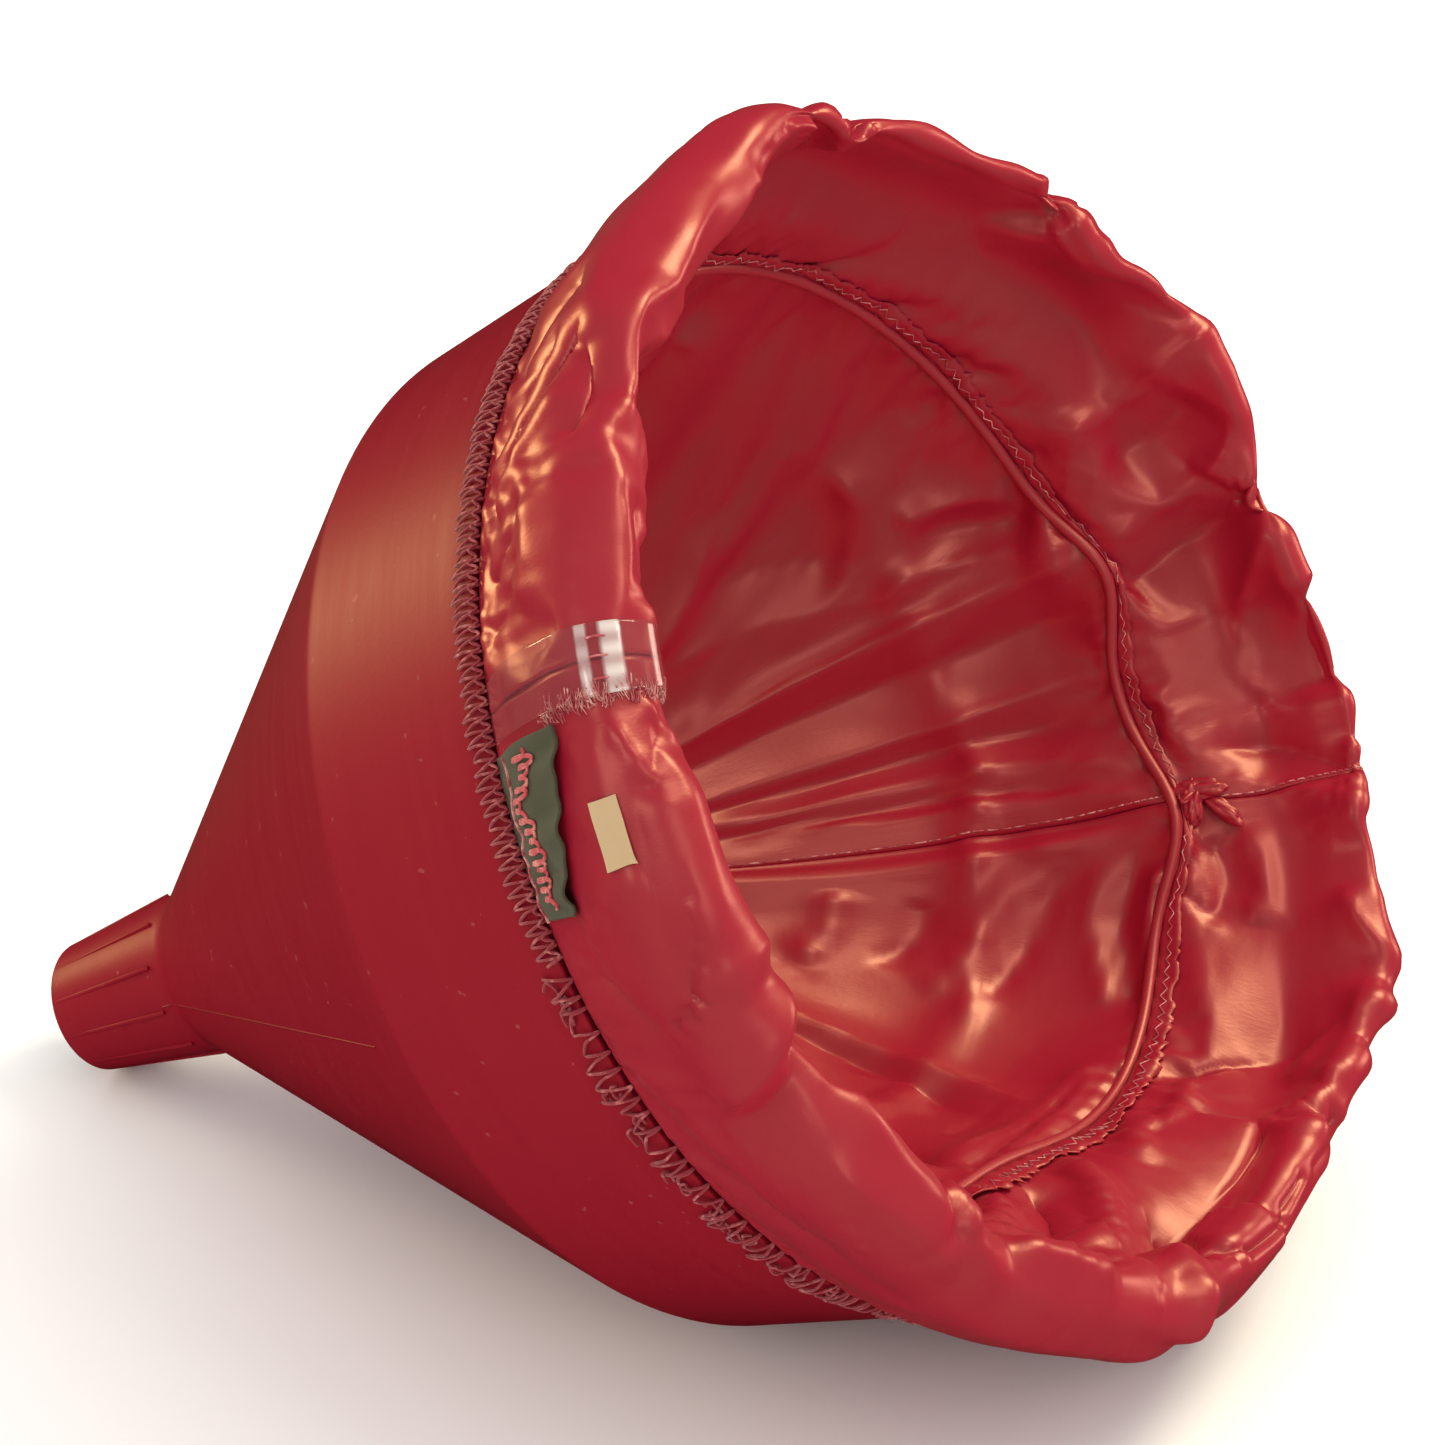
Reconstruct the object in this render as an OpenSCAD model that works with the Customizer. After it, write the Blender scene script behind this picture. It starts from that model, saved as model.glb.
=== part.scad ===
// Funnel hat: a moulded plastic funnel worn mouth down, with a satin lining sewn round its rim.
// It lies on its side: the spout's end, the ring and the drooping brim touch the floor at z = 0.
// Every piece is drawn about the funnel's own axis (rim plane at z = 0, spout at negative z)
// and lay() then turns it into the resting place. Angles run round that axis: 0 is the side
// that lies on the floor, 90 the far side (+Y), 180 the top and 270 the near side (-Y).

/* [Funnel] */
// Outer radius of the rim
rim_r = 100; // [80:1:130]
// Outer radius of the ring between the cone and the skirt
ring_r = 92; // [74:1:115]
// Distance from the rim to the ring
ring_depth = 44.5; // [34:0.5:60]
// Outer radius where the cone meets the spout
neck_r = 15.7; // [12:0.1:20]
// Distance from the rim to the foot of the cone
neck_depth = 148.5; // [120:0.5:180]
// Outer radius of the spout's end
tip_r = 12.3; // [9:0.1:15]
// Length of the spout
spout_len = 30.5; // [24:0.5:40]
// Thickness of the moulded wall
wall = 2; // [1.5:0.1:3]

/* [Spout ribs] */
// Number of ribs round the spout
rib_count = 11; // [6:1:16]
// Width of a rib
rib_w = 1.2; // [0.8:0.1:1.6]
// Height of a rib above the spout
rib_h = 0.6; // [0.4:0.1:1]
// Plain length between the ribs and the cone
rib_stop = 3; // [2:0.5:5]
// Length over which a rib fades in at the spout's end
rib_lead = 2; // [1.5:0.5:4]

/* [Satin brim] */
// Thickness that stands for one gathered layer of satin
cloth_t = 0.8; // [0.6:0.1:1.2]
// How far the brim stands out past the rim
brim_swell = 13.2; // [10:0.1:18]
// Height of the brim above the rim
brim_rise = 37.5; // [28:0.5:46]
// How far the brim rolls in over the mouth
brim_roll = 4; // [2:0.5:7]
// How far the brim sags where it reaches the floor
brim_sag = 12; // [10:0.5:14]
// Angle of the seam between the two halves of the lining at the front
seam_angle = 56; // [50:1:62]
// Angle of the back opening between the two halves
back_angle = 238; // [232:1:240]

/* [Lining] */
// Room between the funnel's inner wall and the piping's centre line
lining_ease = 7.5; // [5:0.5:10]
// Depth of the crown lining below the rim
crown_depth = 78; // [60:1:92]
// How far the lining is bunched in where the hat lies on it
bunch = 14; // [8:1:18]

/* [Piping] */
// Outer diameter of the covered piping
piping_d = 2.2; // [1.8:0.1:3]
// Diameter of the cord inside the piping
core_d = 1.4; // [1:0.1:1.7]
// Width of the raw allowance beside the piping
allowance_w = 5; // [3:0.5:7]

/* [Rim stitches] */
// Depth of the overcast stitches on the outside of the rim
stitch_depth = 4.6; // [3:0.1:7]
// Thickness of the thread layer
thread_t = 0.7; // [0.5:0.1:1]
// Angle at which the machine stitches end and the hand stitches begin
hand_from = 264; // [260:1:275]
// Angle at which the hand stitches end
hand_to = 332; // [320:1:345]

/* [Labels] */
// Length of the woven label along the rim
label_len = 28; // [20:1:34]
// Width of the woven label
label_w = 17; // [10:0.5:20]
// Thickness of the woven label
label_t = 0.6; // [0.4:0.1:1]
// Width of the clear strip across the back opening
strip_w = 10.5; // [8:0.5:11]
// Thickness of the clear strip
strip_t = 0.4; // [0.3:0.1:0.8]
// Length of the care tag
tag_len = 12; // [8:0.5:16]
// Width of the part of the care tag that shows
tag_w = 6; // [4:0.5:8]

/* [Hidden] */
$fn = 96;

red_plastic = [0.62, 0.10, 0.16];
red_satin = [0.66, 0.11, 0.17];
red_thread = [0.80, 0.28, 0.30];

// Gap left between two pieces that lie on each other
skin = 0.05;
// Half of the angle left open between the two halves of the lining
half_gap = 0.12;
// Step for the slopes that give a surface's normal
nudge = 0.01;

// The funnel's outer profile from the tip to the rim, as [radius, height]
tip_depth = neck_depth + spout_len;
profile = [[tip_r, -tip_depth], [neck_r, -neck_depth], [ring_r, -ring_depth], [rim_r, 0]];
// The hat rests on the end of its spout and on whichever profile corner stands out furthest
tilt = max([for (i = [1:3]) atan((profile[i][0] - tip_r) / (profile[i][1] + tip_depth))]);
axis_h = max([for (p = profile) p[0] * cos(tilt) - p[1] * sin(tilt)]);

// Widths along the rim as angles
function rim_angle(length) = length / rim_r * 180 / PI;

// A smooth hump of height 1 at the angle centre
function hump(a, centre, width) = exp(-pow(((a - centre + 900) % 360 - 180) / width, 2));

// Radius of the plain cone and skirt outside, at the height z
function outer_r(z) = lookup(z, [for (p = profile) [p[1], p[0]]]);

// Radius at which a point at height z and angle a would touch the floor
function floor_r(z, a) =
    cos(a) > 0.1 ? (axis_h + z * sin(tilt)) / (cos(a) * cos(tilt)) : 10 * rim_r;

// The piping's centre line: bunched in at the floor and caught up beside the front seam
head_r = rim_r - wall - lining_ease;
function piping_r(a) = head_r - bunch * hump(a, 346, 26);
function piping_z(a) = 1 + 7 * hump(a, 84, 8) + 7 * hump(a, seam_angle - 2, 9);

// The brim's section from the rim's edge, over its crest and in to the piping. The crest
// stands out or draws in a little round the rim, and sags to the floor where the hat lies on it.
function sag(a) = brim_sag * hump(a, 7, 13);
function crest_wave(a) =
    4 * hump(a, 101, 11) + 3.5 * hump(a, 38, 9) - 4 * hump(a, 148, 16);
function brim_point(a, k) =
    let (g = sag(a), w = crest_wave(a), out = rim_r + brim_swell, up = brim_rise)
    k == 0 ? [rim_r - 0.4, thread_t + cloth_t / 2] :
    k == 1 ? [out - 0.5 * brim_swell + 0.9 * g, 0.3 * up - 0.95 * g] :
    k == 2 ? [out - 0.13 * brim_swell + 0.6 * w + g, 0.58 * up - g] :
    k == 3 ? [out + w + 0.35 * g, 0.83 * up - 0.8 * g] :
    k == 4 ? [out - 0.35 * brim_swell + w + 0.1 * g, up - 0.25 * g] :
    k == 5 ? [rim_r + 0.12 * brim_swell + 0.6 * w, 0.99 * up] :
    k == 6 ? [rim_r - brim_roll, 0.8 * up] :
    k == 7 ? [(rim_r - brim_roll + piping_r(a)) / 2, 0.45 * up] :
    [piping_r(a) + piping_d / 2, piping_z(a) + piping_d / 2];
brim_spans = 8;

// Smooth curve through the section's points, s from 0 at the rim to 1 at the piping
function curve(p0, p1, p2, p3, t) =
    0.5 * (2 * p1 + (p2 - p0) * t + (2 * p0 - 5 * p1 + 4 * p2 - p3) * t * t
    + (3 * p1 - p0 - 3 * p2 + p3) * t * t * t);
function brim_section(a, s) =
    let (k = min(max(floor(s * brim_spans), 0), brim_spans - 1), t = s * brim_spans - k)
    curve(brim_point(a, max(k - 1, 0)), brim_point(a, k), brim_point(a, k + 1),
          brim_point(a, min(k + 2, brim_spans)), t);

// Surface of the side band, clipped flat where it lies on the floor
band = function (a, s)
    let (p = brim_section(a, s), low = cloth_t / 2 / (max(cos(a), 0.1) * cos(tilt)),
         r = min(p[0], floor_r(p[1], a) - low))
    [r * cos(a), r * sin(a), p[1]];

// Surface of the crown lining from the piping, s = 0, to its apex, s = 1
fullness = 1.43;
crown_reach = 0.985;
crown = function (a, s)
    let (r = (piping_r(a) - 0.3) * pow(max(cos(90 * s * crown_reach), 0), fullness),
         top = piping_z(a) - piping_d / 2 - cloth_t / 2,
         z = top - (crown_depth + top) * pow(max(sin(90 * s * crown_reach), 0), fullness))
    [r * cos(a), r * sin(a), z];

function unit(v) = v / norm(v);
// A point lifted off a surface, towards the side that shows
function lifted(form, a, s, lift) =
    form(a, s) + lift * unit(cross(form(a + nudge, s) - form(a - nudge, s),
                                      form(a, s + nudge) - form(a, s - nudge)));

// Turns a point from the funnel's own axis, with no shift
function laid(p) = [p[0] * sin(tilt) + p[2] * cos(tilt), p[1]];

// Place of the model, so that the origin is under the middle of its box
brim_edge = [for (a = [0:3:357], s = [0:0.05:1]) laid(lifted(band, a, s, cloth_t / 2))];
x_low = min([for (p = profile) p[1] * cos(tilt) - p[0] * sin(tilt)]);
x_high = max([for (p = brim_edge) p[0]]);
y_mid = (min([for (p = brim_edge) p[1]]) + max([for (p = brim_edge) p[1]])) / 2;

// Turns a piece from the funnel's own axis into its resting place
module lay() {
    translate([-(x_low + x_high) / 2, -y_mid, axis_h]) rotate([0, 90 - tilt, 0]) children();
}

// A thick sheet on a surface, between two angles and two stations, closed all round
module sheet(form, a0, a1, na, s0, s1, ns, lift, t) {
    row = ns + 1;
    count = (na + 1) * row;
    grid = [for (side = [1, -1], i = [0:na], j = [0:ns])
        lifted(form, a0 + (a1 - a0) * i / na, s0 + (s1 - s0) * j / ns, lift + side * t / 2)];
    function top(i, j) = i * row + j;
    function under(i, j) = count + i * row + j;
    broad = [for (i = [0:na - 1], j = [0:ns - 1]) each [
        [top(i, j), top(i, j + 1), top(i + 1, j + 1)],
        [top(i, j), top(i + 1, j + 1), top(i + 1, j)],
        [under(i, j), under(i + 1, j + 1), under(i, j + 1)],
        [under(i, j), under(i + 1, j), under(i + 1, j + 1)]]];
    long_edges = [for (i = [0:na - 1]) each [
        [top(i, 0), top(i + 1, 0), under(i + 1, 0)],
        [top(i, 0), under(i + 1, 0), under(i, 0)],
        [top(i + 1, ns), top(i, ns), under(i, ns)],
        [top(i + 1, ns), under(i, ns), under(i + 1, ns)]]];
    ends = [for (j = [0:ns - 1]) each [
        [top(0, j + 1), top(0, j), under(0, j)],
        [top(0, j + 1), under(0, j), under(0, j + 1)],
        [top(na, j), top(na, j + 1), under(na, j + 1)],
        [top(na, j), under(na, j + 1), under(na, j)]]];
    polyhedron(points = grid, faces = concat(broad, long_edges, ends));
}

// A closed tube of the diameter d along the piping's centre line
module piping_tube(d, rings, sides) {
    points = [for (i = [0:rings - 1], j = [0:sides - 1])
        let (a = 360 * i / rings, b = 360 * j / sides, r = piping_r(a) + d / 2 * cos(b))
        [r * cos(a), r * sin(a), piping_z(a) + d / 2 * sin(b)]];
    function at(i, j) = (i % rings) * sides + j % sides;
    faces = [for (i = [0:rings - 1], j = [0:sides - 1]) each [
        [at(i, j), at(i, j + 1), at(i + 1, j + 1)],
        [at(i, j), at(i + 1, j + 1), at(i + 1, j)]]];
    polyhedron(points = points, faces = faces);
}

// A thread layer folded over the rim's edge, between two angles
module rim_thread(from, to) {
    foot = outer_r(-stitch_depth) + skin;
    edge = rim_r + skin;
    rotate([0, 0, from]) rotate_extrude(angle = to - from)
        polygon([[foot, -stitch_depth], [foot + thread_t, -stitch_depth],
                 [edge + thread_t, thread_t], [edge - 1.5, thread_t], [edge - 1.5, skin],
                 [edge, skin]]);
}

module funnel_wall() {
    cone_run = wall / 2;
    rotate_extrude() polygon(concat(profile, [
        [rim_r - wall, 0], [ring_r - wall, cone_run - ring_depth],
        [neck_r - wall, cone_run - neck_depth], [tip_r - wall, -tip_depth]]));
}

module spout_rib() {
    top = -neck_depth - rib_stop;
    top_r = outer_r(top);
    rotate([90, 0, 0]) linear_extrude(height = rib_w, center = true)
        polygon([[tip_r - wall / 2, -tip_depth], [tip_r, -tip_depth],
                 [tip_r + rib_h, rib_lead - tip_depth], [top_r + rib_h, top],
                 [top_r - wall / 2, top]]);
}

module parting_ridge() {
    low = -neck_depth - rib_stop;
    high = -ring_depth - 12;
    rise = 0.25;
    rotate([90, 0, 0]) linear_extrude(height = 0.5, center = true)
        polygon([[outer_r(low) - rise, low], [outer_r(low) + rise, low],
                 [neck_r + rise, -neck_depth], [outer_r(high) + rise, high],
                 [outer_r(high) - rise, high], [neck_r - rise, -neck_depth]]);
}

module funnel_shell() {
    color(red_plastic) lay() union() {
        funnel_wall();
        for (i = [0:rib_count - 1]) rotate([0, 0, 272 + i * 360 / rib_count]) spout_rib();
        for (a = [88, 268]) rotate([0, 0, a]) parting_ridge();
    }
}

module crown_panel(from, to) {
    lay() sheet(crown, from + half_gap, to - half_gap, 32, 0, 1, 10, 0, cloth_t);
}

module side_band(from, to) {
    lay() sheet(band, from + half_gap, to - half_gap, 36, 0, 1, 16, 0, cloth_t);
}

module crown_panel_top() {
    color(red_satin) crown_panel(seam_angle, back_angle);
}

module crown_panel_bottom() {
    color(red_satin) crown_panel(back_angle, seam_angle + 360);
}

module side_band_top() {
    color(red_satin) side_band(seam_angle, back_angle);
}

module side_band_bottom() {
    color(red_satin) side_band(back_angle, seam_angle + 360);
}

module piping_cover() {
    color(red_satin) lay() difference() {
        piping_tube(piping_d, 80, 8);
        piping_tube(core_d + 2 * skin, 80, 8);
    }
}

module piping_core() {
    color("ivory") lay() piping_tube(core_d, 80, 8);
}

// The allowance lies on the side band, just above the piping
allowance_s = allowance_w / (1.9 * brim_rise + brim_swell + brim_roll);
allowance_t = 0.5;
module piping_allowance() {
    color(red_satin) lay()
        sheet(band, back_angle + 1 - 360, back_angle - 1, 72, 0.995 - allowance_s, 0.995, 1,
              cloth_t / 2 + skin + allowance_t / 2, allowance_t);
}

// The allowance's own stitches, in a line along its middle
stitch_t = 0.3;
stitch_w = 0.006;
module piping_stitches() {
    middle = 0.995 - allowance_s / 2;
    color(red_thread) lay()
        sheet(band, back_angle + 1.5 - 360, back_angle - 1.5, 72, middle, middle + stitch_w, 1,
              cloth_t / 2 + 2 * skin + allowance_t + stitch_t / 2, stitch_t);
}

module crown_seam_stitches() {
    lift = cloth_t / 2 + skin + stitch_t / 2;
    color(red_thread) lay() for (a = [seam_angle, back_angle])
        sheet(crown, a + 0.4, a + 1, 1, 0.03, 0.8, 12, lift, stitch_t);
}

module band_seam_stitches() {
    lift = cloth_t / 2 + skin + stitch_t / 2;
    color(red_thread) lay()
        sheet(band, seam_angle + 0.3, seam_angle + 0.6, 1, 0.04, 0.94 - allowance_s, 14, lift,
              stitch_t);
}

// Bunched ends of the allowances where the front seam meets the piping
module seam_knot() {
    knot_r = 3;
    stand = cloth_t / 2 + allowance_t + stitch_t + 3 * skin + knot_r;
    function at(a, s) = lifted(band, seam_angle + a, s, stand);
    color(red_satin) lay() hull() {
        translate(at(2, 0.9)) sphere(r = knot_r, $fn = 20);
        translate(at(-2, 0.86)) sphere(r = knot_r, $fn = 20);
    }
}

module rim_stitches() {
    color(red_thread) lay() rim_thread(hand_to - 360 + 0.5, hand_from - 0.5);
}

module rim_hand_stitches() {
    color(red_thread) lay() rim_thread(hand_from, hand_to);
}

// What is sewn on the band near the back opening, as angles and stations along the section
brim_len = 1.9 * brim_rise + brim_swell + brim_roll;
strip_from = back_angle - rim_angle(strip_w) / 2;
strip_to = back_angle + rim_angle(strip_w) / 2;
label_from = strip_to + 1.5;
label_to = label_from + rim_angle(label_len);
label_foot = 0.06;
label_head = label_foot + label_w / brim_len;
on_band = cloth_t / 2 + skin;

module label_patch() {
    color([0.30, 0.30, 0.18]) lay()
        sheet(band, label_from, label_to, 8, label_foot, label_head, 4,
              on_band + label_t / 2, label_t);
}

module label_embroidery() {
    middle = (label_foot + label_head) / 2;
    color([0.80, 0.20, 0.22]) lay()
        sheet(band, label_from + 1.5, label_to - 1, 8, middle - 0.01, middle + 0.01, 1,
              on_band + label_t + skin + stitch_t / 2, stitch_t);
}

module label_stitches() {
    color(red_thread) lay()
        sheet(band, label_from + 0.5, label_to - 0.5, 8, label_foot + 0.01,
              label_foot + 0.01 + stitch_w, 1, on_band + label_t + skin + stitch_t / 2, stitch_t);
}

module care_tag() {
    tag_from = label_from + 6;
    foot = label_head + 11 / brim_len;
    color([0.85, 0.75, 0.55]) lay()
        sheet(band, tag_from, tag_from + rim_angle(tag_len), 4, foot, foot + tag_w / brim_len, 3,
              on_band + 0.2, 0.4);
}

module clear_strip() {
    color([0.85, 0.75, 0.75, 0.4]) lay()
        sheet(band, strip_from, strip_to, 4, 0.05, 0.7, 16, on_band + strip_t / 2, strip_t);
}

module strip_stitches() {
    lift = on_band + strip_t + skin + stitch_t / 2;
    color(red_thread) lay() for (i = [-1, 0, 1])
        sheet(band, back_angle + 2 * i - 0.3, back_angle + 2 * i + 0.3, 1, 0.43, 0.46, 1, lift,
              stitch_t);
}

// The gathered raw end of the band beside the clear strip, clear of the label's corner
module band_end_fringe() {
    color(red_satin) lay()
        sheet(band, strip_to + 0.2, strip_to + 1.3, 1, label_head + 0.4 / brim_len, 0.7, 12,
              on_band + 0.3, 0.6);
}

funnel_shell();
crown_panel_top();
crown_panel_bottom();
side_band_top();
side_band_bottom();
piping_cover();
piping_core();
piping_allowance();
piping_stitches();
crown_seam_stitches();
band_seam_stitches();
seam_knot();
rim_stitches();
rim_hand_stitches();
label_patch();
label_embroidery();
label_stitches();
care_tag();
clear_strip();
strip_stitches();
band_end_fringe();
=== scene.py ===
import logging
import math
from dataclasses import dataclass, field
from enum import Enum
from typing import Callable, Iterable, Sequence

import bmesh
import bpy
import numpy as np
from mathutils import Matrix, Vector


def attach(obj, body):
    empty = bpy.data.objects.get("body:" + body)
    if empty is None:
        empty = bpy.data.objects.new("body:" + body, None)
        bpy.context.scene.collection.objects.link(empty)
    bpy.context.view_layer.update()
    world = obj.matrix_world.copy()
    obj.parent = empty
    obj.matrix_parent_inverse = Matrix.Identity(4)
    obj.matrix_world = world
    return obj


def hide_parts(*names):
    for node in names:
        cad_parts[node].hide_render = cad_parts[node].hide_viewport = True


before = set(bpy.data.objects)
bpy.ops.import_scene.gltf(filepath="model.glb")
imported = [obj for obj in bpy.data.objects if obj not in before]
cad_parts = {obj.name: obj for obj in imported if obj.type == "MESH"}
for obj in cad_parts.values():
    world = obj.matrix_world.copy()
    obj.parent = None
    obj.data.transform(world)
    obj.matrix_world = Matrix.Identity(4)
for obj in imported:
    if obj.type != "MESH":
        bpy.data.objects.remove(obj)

# A satin-lined funnel hat.  Lengths are metres and angles degrees.  Everything is drawn about the
# funnel's own axis, with the rim plane at height 0 and the spout below it; FunnelFrame lays it on
# its side.  Angles run round that axis: 0 lies on the floor, 90 is the far side, 180 the top and
# 270 the near side.  Stations run from 0 to 1 along a satin panel's section.
LOG = logging.getLogger("funnel_hat")
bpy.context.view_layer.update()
MM = 0.001
SATIN_T = 0.3 * MM
FOLD_WIDEN, FOLD_RAISE = 1.25, 1.35  # applied to every fold's listed width and height
GATHER_WAVES, CRUMPLE_WAVES = 14, 24  # waves that are summed into one irregular pattern
Colour = tuple[float, float, float]
Surface = Callable[[np.ndarray, np.ndarray], np.ndarray]


def hump(angle: np.ndarray, centre: float, width: float) -> np.ndarray:
    """Return a smooth hump of height 1 round the angle centre."""
    return np.exp(-(((angle - centre + 900.0) % 360.0 - 180.0) / width) ** 2)


def ease(x: np.ndarray) -> np.ndarray:
    """Return x clipped to 0..1 and eased at both ends."""
    x = np.clip(x, 0.0, 1.0)
    return x * x * (3.0 - 2.0 * x)


@dataclass(frozen=True)
class FunnelSizes:
    """Sizes of the moulded funnel."""

    rim_r: float = 100 * MM
    ring_r: float = 92 * MM
    ring_depth: float = 44.5 * MM
    neck_r: float = 15.7 * MM
    neck_depth: float = 148.5 * MM
    tip_r: float = 12.3 * MM
    spout_len: float = 30.5 * MM
    wall: float = 2 * MM
    rib_count: int = 11
    rib_w: float = 1.2 * MM
    rib_h: float = 0.6 * MM
    rib_stop: float = 3 * MM
    rib_lead: float = 2 * MM

    @property
    def tip_depth(self) -> float:
        """Return the depth of the spout's end."""
        return self.neck_depth + self.spout_len

    @property
    def profile(self) -> list[tuple[float, float]]:
        """Return the outer profile from tip to rim, as radius and height."""
        return [(self.tip_r, -self.tip_depth), (self.neck_r, -self.neck_depth),
                (self.ring_r, -self.ring_depth), (self.rim_r, 0.0)]

    def outer_r(self, z: float) -> float:
        """Return the outer radius at the height z."""
        radii, heights = zip(*self.profile)
        return float(np.interp(z, heights, radii))


@dataclass(frozen=True)
class FunnelFrame:
    """The funnel's own frame, and the way it lies on the floor."""

    sizes: FunnelSizes = field(default_factory=FunnelSizes)
    shift_x: float = 36.64 * MM
    shift_y: float = -1.22 * MM

    @property
    def tilt(self) -> float:
        """Return the angle between the axis and the floor, in radians."""
        s = self.sizes
        return max(math.atan((r - s.tip_r) / (z + s.tip_depth)) for r, z in s.profile[1:])

    @property
    def axis_h(self) -> float:
        """Return the height of the rim's centre above the floor."""
        t = self.tilt
        return max(r * math.cos(t) - z * math.sin(t) for r, z in self.sizes.profile)

    @property
    def matrix(self) -> Matrix:
        """Return the matrix from the funnel's frame to the row frame."""
        c, s = math.cos(self.tilt), math.sin(self.tilt)
        return Matrix(((s, 0, c, self.shift_x), (0, 1, 0, self.shift_y),
                       (-c, 0, s, self.axis_h), (0, 0, 0, 1)))

    def lay(self, points: np.ndarray) -> np.ndarray:
        """Return points of the funnel's frame in the row frame."""
        m = np.array(self.matrix)
        return points @ m[:3, :3].T + m[:3, 3]

    def stand(self, points: np.ndarray) -> np.ndarray:
        """Return points of the row frame in the funnel's frame."""
        m = np.array(self.matrix.inverted())
        return points @ m[:3, :3].T + m[:3, 3]

    def round(self, radius: np.ndarray, angle: np.ndarray, height: np.ndarray) -> np.ndarray:
        """Return points of the funnel's frame from radius, angle and height."""
        a = np.radians(angle)
        return np.stack([radius * np.cos(a), radius * np.sin(a), height + 0 * a], axis=-1)


HAT = FunnelFrame()


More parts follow.
